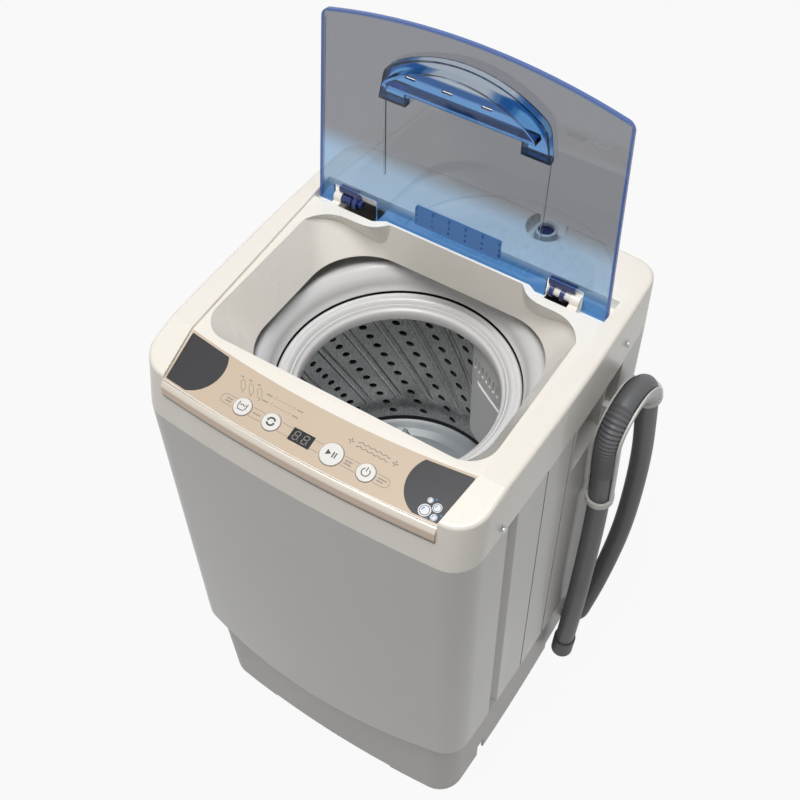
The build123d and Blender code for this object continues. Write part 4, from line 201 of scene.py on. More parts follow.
def lid_plate():
    """Tinted lid: blue by the hinges, deepest along its foot with painted shade of the trough seen through
    it, greyer above, and deep where the eye looks along its edge.
    """
    material, tree, shader, across, along = clear_plastic("clear_blue_styrene_lid", 16)
    foot_share = add_node(
        tree, "ShaderNodeMapRange",
        {**SMOOTH, "From Min": LID_FOOT[0], "From Max": LID_FOOT[1]}, {"Value": along},
    )
    # Deep blue at the foot: the lid's own tint with painted shade of the trough behind it
    foot = add_node(
        tree, "ShaderNodeMix",
        {"data_type": "RGBA", MIX_A: linear("#5388C0"), MIX_B: linear("#A3BEDA")},
        {"Factor": foot_share}, MIX_RESULT,
    )
    grey_share = add_node(
        tree, "ShaderNodeMapRange",
        {**SMOOTH, "From Min": LID_BLUE_TO_GREY[0], "From Max": LID_BLUE_TO_GREY[1]}, {"Value": along},
    )
    tint = add_node(
        tree, "ShaderNodeMix",
        {"data_type": "RGBA", MIX_B: linear("#8C8E92")}, {"Factor": grey_share, MIX_A: foot}, MIX_RESULT,
    )
    # Distance from the nearer of the tapered side edge and the bowed free edge
    side = add_node(
        tree, "ShaderNodeMath",
        {"operation": "MULTIPLY_ADD", 1: -LID_SIDE_TAPER, 2: LID_HALF_AT_HINGE}, {0: along},
    )
    from_side = add_node(tree, "ShaderNodeMath", {"operation": "SUBTRACT"}, {0: side, 1: across})
    share = add_node(tree, "ShaderNodeMath", {"operation": "DIVIDE", 1: LID_HALF_FREE}, {0: across})
    bow = add_node(tree, "ShaderNodeMath", {"operation": "POWER", 1: 2}, {0: share})
    top = add_node(
        tree, "ShaderNodeMath", {"operation": "MULTIPLY_ADD", 1: -LID_BOW, 2: LID_LENGTH}, {0: bow},
    )
    from_top = add_node(tree, "ShaderNodeMath", {"operation": "SUBTRACT"}, {0: top, 1: along})
    from_edge = add_node(tree, "ShaderNodeMath", {"operation": "MINIMUM"}, {0: from_side, 1: from_top})
    edge = add_node(
        tree, "ShaderNodeMapRange",
        {**SMOOTH, "From Min": LID_EDGE_WIDTH, "From Max": LID_EDGE_CORE}, {"Value": from_edge},
    )
    colour = add_node(
        tree, "ShaderNodeMix",
        {"data_type": "RGBA", MIX_B: linear("#5474B8")}, {"Factor": edge, MIX_A: tint}, MIX_RESULT,
    )
    tree.links.new(colour, shader.inputs["Base Color"])
    clear = add_node(
        tree, "ShaderNodeMath", {"operation": "MULTIPLY_ADD", 1: -LID_EDGE_DENSITY, 2: 1.0}, {0: edge},
    )
    tree.links.new(clear, shader.inputs["Transmission Weight"])
    return material


def lid_grip():
    """Handle of the lid: deep blue along its doubled wall, mid blue below it and nearly clear above."""
    material, tree, shader, across, along = clear_plastic("clear_blue_styrene_handle", 14)
    past = add_node(
        tree, "ShaderNodeMath", {"operation": "SUBTRACT", 1: GRIP_STRAIGHT_HALF}, {0: across},
    )
    past = add_node(tree, "ShaderNodeMath", {"operation": "MAXIMUM", 1: 0.0}, {0: past})
    drop = add_node(tree, "ShaderNodeMath", {"operation": "MULTIPLY"}, {0: past, 1: past})
    wall = add_node(
        tree, "ShaderNodeMath",
        {"operation": "MULTIPLY_ADD", 1: -GRIP_END_CURVE, 2: GRIP_WALL_ALONG}, {0: drop},
    )
    above = add_node(tree, "ShaderNodeMath", {"operation": "SUBTRACT"}, {0: along, 1: wall})
    face_share = add_node(
        tree, "ShaderNodeMapRange",
        {**SMOOTH, "From Min": GRIP_FACE_FADE[0], "From Max": GRIP_FACE_FADE[1]}, {"Value": above},
    )
    face = add_node(
        tree, "ShaderNodeMix",
        {"data_type": "RGBA", MIX_A: linear("#5F93C8"), MIX_B: linear("#A9B4C0")},
        {"Factor": face_share}, MIX_RESULT,
    )
    distance = add_node(tree, "ShaderNodeMath", {"operation": "ABSOLUTE"}, {0: above})
    near = add_node(
        tree, "ShaderNodeMapRange",
        {**SMOOTH, "From Min": GRIP_WALL_FADE[0], "From Max": GRIP_WALL_FADE[1]}, {"Value": distance},
    )
    colour = add_node(
        tree, "ShaderNodeMix",
        {"data_type": "RGBA", MIX_B: linear("#1F5290")}, {"Factor": near, MIX_A: face}, MIX_RESULT,
    )
    tree.links.new(colour, shader.inputs["Base Color"])
    return material


def lid_slats():
    """Slats under the lid: milky mid blue, so that the gaps between them show."""
    material, _, shader, _, _ = clear_plastic("clear_blue_styrene_slats", 40)
    shader.inputs["Base Color"].default_value = linear("#4279B2")
    shader.inputs["Transmission Weight"].default_value = 0.5
    return material


def plated_trim_painted_light():
    """Champagne plating over a half-round strip: painted highlight on the crest, taupe face and painted
    shadow along the lower edge.
    """
    material = metal("champagne_plating_painted_light", "#E3D2BC", 0.30, 0.6, (0.05, 1, 1), 0.0)
    tree = material.node_tree
    place = add_node(tree, "ShaderNodeTexCoord", output="Object")
    height = add_node(tree, "ShaderNodeSeparateXYZ", {}, {"Vector": place}, "Z")
    face_share = add_node(
        tree, "ShaderNodeMapRange",
        {**SMOOTH, "From Min": TRIM_SHADOW_TO_FACE[0], "From Max": TRIM_SHADOW_TO_FACE[1]}, {"Value": height},
    )
    # Painted shadow along the foot of the strip, fading into its taupe face
    face = add_node(
        tree, "ShaderNodeMix",
        {"data_type": "RGBA", MIX_A: linear("#1E1A17"), MIX_B: linear("#B4A393")},
        {"Factor": face_share}, MIX_RESULT,
    )
    highlight_share = add_node(
        tree, "ShaderNodeMapRange",
        {**SMOOTH, "From Min": TRIM_FACE_TO_HIGHLIGHT[0], "From Max": TRIM_FACE_TO_HIGHLIGHT[1]}, {"Value": height},
    )
    # Painted highlight along the crest
    colour = add_node(
        tree, "ShaderNodeMix",
        {"data_type": "RGBA", MIX_B: linear("#DED5C9")}, {"Factor": highlight_share, MIX_A: face}, MIX_RESULT,
    )
    tree.links.new(colour, tree.nodes["Principled BSDF"].inputs["Base Color"])
    return material


# Casing
# Ivory ABS of the top cover, moulded: glossy and warm, with the faint unevenness of a large moulding
IVORY = moulded("ivory_abs", "#EFEAE1", "#EBE5DA", 0.27, 0.8, 0.02, coat=0.15)
# Greige powder coat of the cabinet: half gloss, a shade cooler than the cover
BODY = moulded("greige_body_paint", "#CCCAC6", "#C8C6C2", 0.34, 0.6, 0.10, coat=0.15)
# ABS of the base, moulded in nearly the cabinet's colour but duller
SKIRT = moulded("greige_base_abs", "#C2BFBA", "#BDBAB5", 0.42, 0.7, 0.12)
# Polypropylene of the hose's guide and the inlet: pale grey with a soft sheen
PALE = moulded("pale_grey_pp", "#D5D4D1", "#CFCDC9", 0.38, 0.7, 0.10)
# Polypropylene of the rings round the mouth: smoother from the mould, so that long highlights run round them
RING = moulded("ring_grey_pp", "#DAD9D8", "#D4D2D0", 0.28, 0.7, 0.05, coat=0.15)
# White polypropylene of valves, tray and pin: plain and half matt
WHITE = moulded("white_pp", "#E4E3DE", "#DDDBD5", 0.42, 0.7, 0.10)
# Navy ABS of the hinges, the damper and the inlet's strainer: dark, with small sharp highlights
NAVY = moulded("navy_abs", "#10296B", "#0D2259", 0.25, 0.6, 0.04, coat=0.3)
# Black polyamide of the cups on the suspension rods: dull
BLACK_PLASTIC = moulded("black_pa", "#17171A", "#1D1D20", 0.45, 0.6, 0.15)
# Rubber of feet, seal, belt, bellows and gland: matt, slightly grainy
RUBBER = moulded("black_rubber", "#1A1A1B", "#202021", 0.65, 0.5, 0.3)
# Clear tinted styrene of the lid: see-through, blue by the hinges, with painted shade of the trough along its
# foot, and grey above
LID_PLATE = lid_plate()
# The same styrene in the lid's handle, where a doubled wall shows as a deep blue line
LID_GRIP = lid_grip()
# The same styrene in the slats under the lid, milky
LID_SLATS = lid_slats()

# Control panel
# Champagne film of the panel, printed from behind and lacquered: satin, warm
PANEL = moulded("champagne_panel_film", "#CCBAA5", "#C8B59E", 0.3, 0.5, 0.03, coat=0.2)
# Charcoal film of the two inset patches: nearly black, with a satin sheen
PATCH = moulded("charcoal_film", "#2C2C30", "#28282B", 0.32, 0.5, 0.03, coat=0.05)
# Champagne plating of the trim strip: a painted highlight along its crest and painted shadow below
TRIM = plated_trim_painted_light()
# Pearl ABS of the buttons: off-white and glossy
BUTTON = moulded("pearl_button_abs", "#E6E4E0", "#DFDCD7", 0.3, 0.5, 0.03, coat=0.2)
# Smoked acrylic of the display window: black until it is lit
WINDOW = moulded("smoked_window", "#0B0B0C", "#080809", 0.2, 0.5, 0.02, coat=0.1)
# Screen inks, all flat and even: nearly black on the buttons
INK = moulded("dark_print", "#2B2A2C", "#2F2E30", 0.4, 0.5, 0.0)
# Grey of the thin outlines
PALE_INK = moulded("grey_print", "#978C81", "#92877C", 0.4, 0.5, 0.0)
# Brown grey of the ticks and waves
DARK_BEIGE_INK = moulded("brown_grey_print", "#756B64", "#70665F", 0.4, 0.5, 0.0)
# Brown grey of the rims round the buttons, a shade darker
RIM_INK = moulded("button_rim_print", "#6F655E", "#6A605A", 0.4, 0.5, 0.0)
# Bluish white of the bubbles
WHITE_INK = moulded("white_print", "#E6E7EA", "#DFE1E5", 0.35, 0.5, 0.0)
# Clear blue of their crescents and dots
BLUE_INK = moulded("blue_print", "#2D7BB8", "#2870A9", 0.35, 0.5, 0.0)
# Segments of the display, unlit: a grey that just shows on the smoked window
DIM_SEGMENT = moulded("unlit_segment", "#8E8B86", "#86837E", 0.3, 0.5, 0.0)

# Drum and what is round it
# Rolled stainless sheet: rolling marks run round the drum and blur its reflections upwards
STEEL = metal("stainless_sheet", "#D8D5D0", 0.27, 0.9, (1, 1, 0.08), 0.04)
# Painted shade: the same sheet on the walls of the pressed holes, coloured dull and dark for the shade of the
# unlit tub behind them
HOLE_PAINTED_SHADE = metal("stainless_hole_wall_painted_shade", "#3A3937", 0.6, 0.9, (1, 1, 1), 0.10)
# Painted shade: the same sheet, coloured darker on a rib's flank that is turned from the light
RIB_PAINTED_SHADE = metal("stainless_rib_painted_shade", "#6B6965", 0.35, 0.9, (1, 1, 0.08), 0.05)
# Painted highlight: the same sheet, coloured brighter on the flank that is turned to the light, a bright line
RIB_PAINTED_HIGHLIGHT = metal("stainless_rib_painted_highlight", "#F0EEEA", 0.2, 0.9, (1, 1, 0.08), 0.05)
# Painted shade: polypropylene of the outer tub, coloured dark because no light reaches it behind the drum's
# holes
TUB_PAINTED_SHADE = moulded("tub_pp_painted_shade", "#3B3B3D", "#353537", 0.6, 0.9, 0.1)
# Painted shade: a dark band round the foot of the drum's wall, where it turns into the plastic of its floor
FLOOR_CREASE_SHADE = moulded("drum_floor_painted_shade", "#232325", "#1E1E20", 0.4, 0.7, 0.05)
# Polypropylene of the pulsator and the drum's floor: blue-grey with a soft sheen
PULSATOR = moulded("blue_grey_pp", "#8D9499", "#848B90", 0.3, 0.7, 0.08)
# Bright white polypropylene of the lint filter, smooth from the mould
FILTER = moulded("filter_pp", "#F6F6F4", "#F1F1EF", 0.3, 0.6, 0.06)

# Hose
# Flexible PVC of the hose: mid grey and dull, with a fine orange-peel
HOSE = moulded("grey_pvc_hose", "#67686A", "#5C5D5F", 0.48, 1.2, 0.25)
# Harder PVC of its cuff: darker, with the same dull surface
CUFF = moulded("dark_pvc_cuff", "#3F4042", "#39393B", 0.5, 1.0, 0.2)

# Works inside
# Zinc plate of frame, springs, rods and screws: cool grey, slightly spangled
ZINC = metal("zinc_plate", "#B9BBBE", 0.34, 1.4, (1, 1, 1), 0.12)
# Sand-cast aluminium of hub, gearbox and pulleys: dull and rough
CAST = metal("cast_aluminium", "#B4B4B2", 0.48, 1.1, (1, 1, 1), 0.35)
# Enamel of the motor's casing: black with half gloss
MOTOR = moulded("motor_enamel", "#2C2E30", "#26282A", 0.35, 0.6, 0.1)
# Glass-fibre laminate of the control board: green and half gloss
BOARD = moulded("green_laminate", "#1F5A34", "#1A4F2D", 0.4, 0.8, 0.05)

NODE_MATERIALS = {
    IVORY: ["top_cover"],
    BODY: ["cabinet", "rear_service_cover"],
    SKIRT: ["base"],
    PALE: ["hose_guide", "inlet_fitting"],
    RING: ["balance_ring", "tub_ring"],
    WHITE: ["hinge_pin", "board_tray", "inlet_valve", "fill_spout", "water_level_sensor", "drain_valve"],
    TUB_PAINTED_SHADE: ["outer_tub"],
    PANEL: ["control_panel"],
    PATCH: ["panel_inset_left", "panel_inset_right"],
    TRIM: ["front_trim_strip"],
    BUTTON: ["power_button", "start_pause_button", "program_button", "level_button"],
    WINDOW: ["display_window"],
    BOARD: ["control_board"],
    BLACK_PLASTIC: ["suspension_cups"],
    RUBBER: ["power_cord_gland", "fixed_feet", "levelling_foot", "tub_seal", "drive_belt", "drain_bellows"],
    NAVY: ["lid_hinge_left", "lid_hinge_right", "lid_damper"],
    PULSATOR: ["pulsator"],
    FILTER: ["lint_filter"],
    HOSE: ["drain_pipe"],
    CUFF: ["hose_cuff"],
    ZINC: [
        "tub_frame", "suspension_springs", "suspension_rod_front_left",
        "suspension_rod_front_right", "suspension_rod_rear_left", "suspension_rod_rear_right",
    ],
    CAST: ["drum_hub", "gearbox", "drive_pulley", "motor_pulley"],
    MOTOR: ["motor"],
    LID_PLATE: ["lid"],
    LID_GRIP: ["lid_handle"],
    LID_SLATS: ["lid_slat_block"],
    STEEL: ["drum"],
}
for material, names in NODE_MATERIALS.items():
    for name in names:
        for material_slot in NODES[name].material_slots:
            material_slot.material = material

# Light passes the clear pieces of the lid, so they leave no dark shadow on the deck behind
CLEAR_PIECES = ("lid", "lid_handle", "lid_slat_block")
for name in CLEAR_PIECES:
    NODES[name].visible_shadow = False


# ---- Hose: its route in metres, from the pipe in the base up, over the guide and down to its free end

HOSE_EXIT = Vector((0.21887, 0.15155, 0.04911))
HOSE_HEADING = Vector((5, 16, 32)).normalized()
HOSE_FIRST_RUN = 0.038
HOSE_ROUTE = [
    HOSE_EXIT,
    HOSE_EXIT + HOSE_HEADING * HOSE_FIRST_RUN,
    (0.2305, 0.1900, 0.1450),
    (0.2355, 0.2060, 0.2200),
    (0.2368, 0.2105, 0.3100),
    (0.2368, 0.2060, 0.4050),
    (0.2360, 0.1860, 0.5000),
    (0.2352, 0.1660, 0.5880),
    (0.2333, 0.1180, 0.6155),
    (0.2314, 0.0700, 0.5880),
    (0.2318, 0.0800, 0.4900),
    (0.2320, 0.0865, 0.4000),
    (0.2316, 0.0840, 0.3000),
    (0.2305, 0.0805, 0.2000),
    (0.2265, 0.0830, 0.1100),
    (0.2220, 0.0870, 0.0270),
]
HOSE_RADIUS = 0.0135
HOSE_BORE = 0.011
HOSE_SIDES = 32
HOSE_STEP = 0.0012
# Ribs on the hanging leg, between two heights
HOSE_RIB_PITCH = 0.0048
HOSE_RIB_DEPTH = 0.0018
RIBBED_FROM_Z = 0.512
RIBBED_TO_Z = 0.6045


def deselect():
    """Leaves nothing selected."""
    bpy.ops.object.select_all(action="DESELECT")


def select_only(piece):
    """Selects one piece and makes it the active one."""
    deselect()
    piece.select_set(True)
    bpy.context.view_layer.objects.active = piece


def select_edges(piece, chosen):
    """Enters edit mode with only those edges selected whose two ends pass the test."""
    bpy.ops.object.mode_set(mode="EDIT")
    bpy.ops.mesh.select_mode(type="EDGE")
    bpy.ops.mesh.select_all(action="DESELECT")
    bpy.ops.object.mode_set(mode="OBJECT")
    points = piece.data.vertices
    for edge in piece.data.edges:
        edge.select = all(chosen(points[i].co) for i in edge.vertices)
    bpy.ops.object.mode_set(mode="EDIT")


def route_line(name, points):
    """NURBS curve of order 3 that starts and ends at the first and last point."""
    data = bpy.data.curves.new(name, "CURVE")
    data.dimensions = "3D"
    data.resolution_u = 24
    spline = data.splines.new("NURBS")
    spline.points.add(len(points) - 1)
    for control, point in zip(spline.points, points):
        control.co = (*point, 1)
    spline.order_u = 3
    spline.use_endpoint_u = True
    curve = bpy.data.objects.new(name, data)
    bpy.context.scene.collection.objects.link(curve)
    bpy.context.view_layer.update()
    mesh = bpy.data.meshes.new_from_object(curve)
    line = [v.co.copy() for v in mesh.vertices]
    bpy.data.objects.remove(curve)
    return line


def evenly(line, step):
    """Points at an even step along a line."""
    lengths = [0.0]
    for a, b in zip(line, line[1:]):
        lengths.append(lengths[-1] + (b - a).length)
    count = round(lengths[-1] / step)
    out = []
    at = 0
    for i in range(count + 1):
        distance = min(lengths[-1] * i / count, lengths[-1] - 1e-9)
        while lengths[at + 1] < distance:
            at += 1
        share = (distance - lengths[at]) / (lengths[at + 1] - lengths[at])
        out.append(line[at].lerp(line[at + 1], share))
    return out, lengths[-1]


def tube(name, points, radii, bore, sides):
    """Hollow tube whose rings follow points, with an outer radius at each point."""
    rings = []
    side = Vector((1, 0, 0))
    for i, point in enumerate(points):
        ahead = points[min(i + 1, len(points) - 1)] - points[max(i - 1, 0)]
        across = ahead.cross(side).normalized()
        out = across.cross(ahead).normalized()
        rings.append((point, across, out, radii[i]))
    rings = [(*rings[0][:3], bore), *rings, (*rings[-1][:3], bore)]
    inner = [(point, across, out, bore) for point, across, out, _ in reversed(rings[2:-2])]
    loop = rings + inner
    angles = [math.tau * k / sides for k in range(sides)]
    vertices = [
        point + across * (radius * math.cos(angle)) + out * (radius * math.sin(angle))
        for point, across, out, radius in loop
        for angle in angles
    ]
    faces = [
        (r * sides + k, r * sides + (k + 1) % sides, (r + 1) % len(loop) * sides + (k + 1) % sides,
         (r + 1) % len(loop) * sides + k)
        for r in range(len(loop))
        for k in range(sides)
    ]
    mesh = bpy.data.meshes.new(name)
    mesh.from_pydata(vertices, [], faces)
    piece = bpy.data.objects.new(name, mesh)
    bpy.context.scene.collection.objects.link(piece)
    select_only(piece)
    bpy.ops.object.mode_set(mode="EDIT")
    bpy.ops.mesh.select_all(action="SELECT")
    bpy.ops.mesh.remove_doubles(threshold=1e-6)
    bpy.ops.mesh.normals_make_consistent(inside=False)
    bpy.ops.object.mode_set(mode="OBJECT")
    bpy.ops.object.shade_smooth_by_angle(angle=math.radians(40))
    return piece


hose_line = route_line("hose_line", HOSE_ROUTE)
hose_points, hose_length = evenly(hose_line, HOSE_STEP)
top_index = max(range(len(hose_points)), key=lambda i: hose_points[i].z)
hose_radii = []
for i, point in enumerate(hose_points):
    ribbed = i > top_index and RIBBED_FROM_Z < point.z < RIBBED_TO_Z
    phase = i * HOSE_STEP / HOSE_RIB_PITCH % 1
    swell = (0.5 - abs(phase - 0.5)) * 2
    hose_radii.append(HOSE_RADIUS + (HOSE_RIB_DEPTH * swell if ribbed else 0.0))
hose = tube("drain_hose", hose_points, hose_radii, HOSE_BORE, HOSE_SIDES)
hose.data.materials.append(HOSE)
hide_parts("drain_hose_free_leg", "drain_hose_bend", "drain_hose_fixed_leg")
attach(hose, "housing")


# ---- Drum: perforated steel sheet with pressed ribs between slanting rows of dimpled holes

AXIS_Y = -0.0035
DRUM_RADIUS = 0.140
DRUM_LOW = 0.352
DRUM_HIGH = 0.603
COLUMNS = 21
ROWS = 11
ROW_PITCH = 0.0197
LOWEST_ROW = 0.374
ROW_SLANT = 0.0085
HOLE_RADIUS = 0.0031
DIMPLE_RADIUS = 0.0047
DIMPLE_DEPTH = 0.0018
RIB_HALF = 0.0056
RIB_RISE = 0.0030
# Shares of the half width and of the rise that each step up a rib's flank takes
RIB_STEPS = ((0.2, 0.7), (0.2, 0.25), (0.6, 0.05))
RIB_LOW_Z = 0.408
RIB_HIGH_Z = 0.574
RIB_LOW_FADE = 0.012
RIB_HIGH_FADE = 0.006
FIRST_COLUMN = math.radians(93.1)
SHEET = 0.0009
# Foot of the wall: heights above the floor and shares of the radius on the way in to the floor's middle
FOOT_STEPS = ((0.009, 1.0), (0.004, 0.983), (SHEET, 0.96), (SHEET, 0.05))
# Below these heights above the floor, faces belong to the floor and to the painted shade round its edge
FLOOR_TOP = 0.003
CREASE_SHADE_TOP = 0.010
# Faces that lie this far outside the wall get the painted shade of a hole, and upright ones that lean this
# much get a rib's painted shade or painted highlight
HOLE_DEPTH = 0.0003
UPRIGHT = 0.6
FLANK_LEAN = 0.35

cell_width = math.tau * DRUM_RADIUS / COLUMNS
flat_half = cell_width / 2 - RIB_HALF


def smoothstep(low, high, value):
    """Share from 0 at low to 1 at high, eased at both ends."""
    share = min(max((value - low) / (high - low), 0.0), 1.0)
    return share * share * (3 - 2 * share)


deselect()
bpy.ops.mesh.primitive_circle_add(vertices=16, radius=HOLE_RADIUS, location=(0, 0, -DIMPLE_DEPTH))
drum = bpy.context.object
drum.name = "perforated_drum"
bpy.ops.object.transform_apply(location=True)
bpy.ops.object.mode_set(mode="EDIT")
bpy.ops.mesh.select_all(action="SELECT")
bpy.ops.mesh.extrude_edges_move(TRANSFORM_OT_translate={"value": (0, 0, DIMPLE_DEPTH)})
bpy.ops.transform.resize(value=(DIMPLE_RADIUS / HOLE_RADIUS,) * 2 + (1,))
bpy.ops.mesh.extrude_edges_move()
bpy.ops.object.mode_set(mode="OBJECT")
for vertex in drum.data.vertices:
    if vertex.select:
        reach = max(abs(vertex.co.x), abs(vertex.co.y))
        vertex.co.x *= flat_half / reach
        vertex.co.y *= ROW_PITCH / 2 / reach
for side in (-1, 1):
    for width, rise in RIB_STEPS:
        edge_x = side * max(side * v.co.x for v in drum.data.vertices)
        select_edges(drum, lambda co: abs(co.x - edge_x) < 1e-6)
        bpy.ops.mesh.extrude_edges_move(
            TRANSFORM_OT_translate={"value": (side * RIB_HALF * width, 0, RIB_RISE * rise)}
        )
        bpy.ops.object.mode_set(mode="OBJECT")
for vertex in drum.data.vertices:
    vertex.co.x += ROW_SLANT / ROW_PITCH * vertex.co.y
for count, offset in ((COLUMNS, (cell_width, 0, 0)), (ROWS, (ROW_SLANT, ROW_PITCH, 0))):
    array = drum.modifiers.new("copies", "ARRAY")
    array.count = count
    array.use_relative_offset = False
    array.use_constant_offset = True
    array.constant_offset_displace = offset
    array.use_merge_vertices = True
    array.merge_threshold = 1e-5
    bpy.ops.object.modifier_apply(modifier="copies")
for vertex in drum.data.vertices:
    along, up, rise = vertex.co
    height = LOWEST_ROW + up
    begun = smoothstep(RIB_LOW_Z - RIB_LOW_FADE, RIB_LOW_Z, height)
    ended = smoothstep(RIB_HIGH_Z - RIB_HIGH_FADE, RIB_HIGH_Z, height)
    ribbed = begun * (1 - ended)
    radius = DRUM_RADIUS - (rise * ribbed if rise > 0 else rise)
    angle = FIRST_COLUMN + along / DRUM_RADIUS
    vertex.co = (radius * math.cos(angle), AXIS_Y + radius * math.sin(angle), height)
bpy.ops.object.mode_set(mode="EDIT")
bpy.ops.mesh.select_all(action="SELECT")
bpy.ops.mesh.remove_doubles(threshold=2e-5)
bpy.ops.object.mode_set(mode="OBJECT")
lower_edge = LOWEST_ROW - ROW_PITCH / 2
upper_edge = LOWEST_ROW + (ROWS - 0.5) * ROW_PITCH
foot_steps = [(DRUM_LOW + above, scale) for above, scale in FOOT_STEPS]
for edge_z, steps in ((lower_edge, foot_steps), (upper_edge, [(DRUM_HIGH, 1.0)])):
    select_edges(drum, lambda co: abs(co.z - edge_z) < 1e-5)
    for z, scale in steps:
        bpy.ops.mesh.extrude_edges_move(TRANSFORM_OT_translate={"value": (0, 0, z - edge_z)})
        bpy.ops.transform.resize(value=(scale, scale, 1), center_override=(0, AXIS_Y, z))
        edge_z = z
    bpy.ops.object.mode_set(mode="OBJECT")
skin = drum.modifiers.new("sheet", "SOLIDIFY")
skin.thickness = SHEET
skin.offset = -1
bpy.ops.object.modifier_apply(modifier="sheet")
bpy.ops.object.mode_set(mode="EDIT")
bpy.ops.mesh.select_all(action="SELECT")
bpy.ops.mesh.normals_make_consistent(inside=False)
bpy.ops.object.mode_set(mode="OBJECT")
bpy.ops.object.shade_smooth_by_angle(angle=math.radians(35))
# Steel and floor of the drum, with painted shade in the holes, at the floor's edge and on the ribs, and
# painted highlights on the ribs
DRUM_FINISHES = (STEEL, HOLE_PAINTED_SHADE, PULSATOR, FLOOR_CREASE_SHADE, RIB_PAINTED_SHADE, RIB_PAINTED_HIGHLIGHT)
for material in DRUM_FINISHES:
    drum.data.materials.append(material)
for face in drum.data.polygons:
    reach = math.hypot(face.center.x, face.center.y - AXIS_Y)
    finish = STEEL
    if face.center.z < DRUM_LOW + FLOOR_TOP:
        finish = PULSATOR
    elif face.center.z < DRUM_LOW + CREASE_SHADE_TOP:
        # Painted shade where the wall turns into the floor
        finish = FLOOR_CREASE_SHADE
    elif reach > DRUM_RADIUS + HOLE_DEPTH:
        # Painted shade on the walls of the holes
        finish = HOLE_PAINTED_SHADE
    elif abs(face.normal.z) < UPRIGHT:
        inward = Vector((-face.center.x, AXIS_Y - face.center.y, 0)).normalized()
        lean = face.normal.x * inward.y - face.normal.y * inward.x
        if abs(lean) > FLANK_LEAN:
            # A rib's flank gets painted shade or a painted highlight by the way it leans
            finish = RIB_PAINTED_SHADE if lean > 0 else RIB_PAINTED_HIGHLIGHT
    face.material_index = DRUM_FINISHES.index(finish)
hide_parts("drum")
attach(drum, "drum")


# ---- Panel: printed outlines, icons and the display's figures. Places are in millimetres in the plane of
# the panel: u runs to the right and v up its slope, from the middle of the row of buttons.

ROW_ORIGIN = Vector((0, -0.1775, 0.700878))
PANEL_TURN = Matrix.Rotation(math.radians(11), 4, "X")
INK_MM = 0.12
BUTTON_RISE_MM = 1.8
WINDOW_RISE_MM = 0.5
FILM_RISE_MM = 0.05
END_STEPS = 10
# Widths of lines and outlines
LINE = 0.4
OUTLINE = 0.65
BUTTON_U = {"level_button": -74, "program_button": -37.5, "start_pause_button": 37, "power_button": 78}


def arc_points(centre, radius, first, last, steps):
    """Points on an arc between two angles in degrees."""
    return [
        (centre[0] + radius * math.cos(math.radians(first + (last - first) * i / steps)),
         centre[1] + radius * math.sin(math.radians(first + (last - first) * i / steps)))
        for i in range(steps + 1)
    ]


def stroke(start, end, width):
    """Straight stroke with round ends."""
    lean = math.degrees(math.atan2(end[1] - start[1], end[0] - start[0]))
    return (
        arc_points(start, width / 2, lean + 90, lean + 270, END_STEPS)
        + arc_points(end, width / 2, lean - 90, lean + 90, END_STEPS)
    )


def arc_stroke(centre, radius, width, first, last, steps=32):
    """Stroke bent along an arc."""
    outer = arc_points(centre, radius + width / 2, first, last, steps)
    inner = arc_points(centre, radius - width / 2, last, first, steps)
    return outer + inner


def ring_loops(centre, radius, width):
    """Outer and inner loop of a printed ring."""
    return [arc_points(centre, radius + side * width / 2, 0, 350, 35) for side in (1, -1)]


def line_stroke(points, width):
    """Stroke of even width along several points."""
    left, right = [], []
    for i, (u, v) in enumerate(points):
        before = points[max(i - 1, 0)]
        after = points[min(i + 1, len(points) - 1)]
        ahead = Vector((after[0] - before[0], after[1] - before[1])).normalized()
        left.append((u - ahead.y * width / 2, v + ahead.x * width / 2))
        right.append((u + ahead.y * width / 2, v - ahead.x * width / 2))
    return left + right[::-1]


def printed(name, loops, material, body="housing", rise_mm=0.0):
    """Thin closed print of flat loops, laid on the panel and moved with a body."""
    data = bpy.data.curves.new(name, "CURVE")
    data.dimensions = "2D"
    data.fill_mode = "BOTH"
    data.extrude = INK_MM / 2000
    for loop in loops:
        spline = data.splines.new("POLY")
        spline.points.add(len(loop) - 1)
        for control, (u, v) in zip(spline.points, loop):
            control.co = (u / 1000, v / 1000, 0, 1)
        spline.use_cyclic_u = True
    curve = bpy.data.objects.new(name + "_curve", data)
    bpy.context.scene.collection.objects.link(curve)
    bpy.context.view_layer.update()
    mesh = bpy.data.meshes.new_from_object(curve)
    bpy.data.objects.remove(curve)
    lift = Matrix.Translation((0, 0, (rise_mm + INK_MM / 2) / 1000))
    mesh.transform(Matrix.Translation(ROW_ORIGIN) @ PANEL_TURN @ lift)
    piece = bpy.data.objects.new(name, mesh)
    bpy.context.scene.collection.objects.link(piece)
    select_only(piece)
    bpy.ops.object.mode_set(mode="EDIT")
    bpy.ops.mesh.select_all(action="SELECT")
    bpy.ops.mesh.remove_doubles(threshold=1e-6)
    bpy.ops.mesh.normals_make_consistent(inside=False)
    bpy.ops.object.mode_set(mode="OBJECT")
    mesh.materials.clear()
    mesh.materials.append(material)
    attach(piece, body)
    return piece


# Thin outline that joins the buttons, broken where a button or the window stands
OUTLINE_HALF = 5.3
OUTLINE_RUNS = ((-63.2, -48.4), (-26.6, -13.8), (13.8, 23.6), (50.4, 67.2))
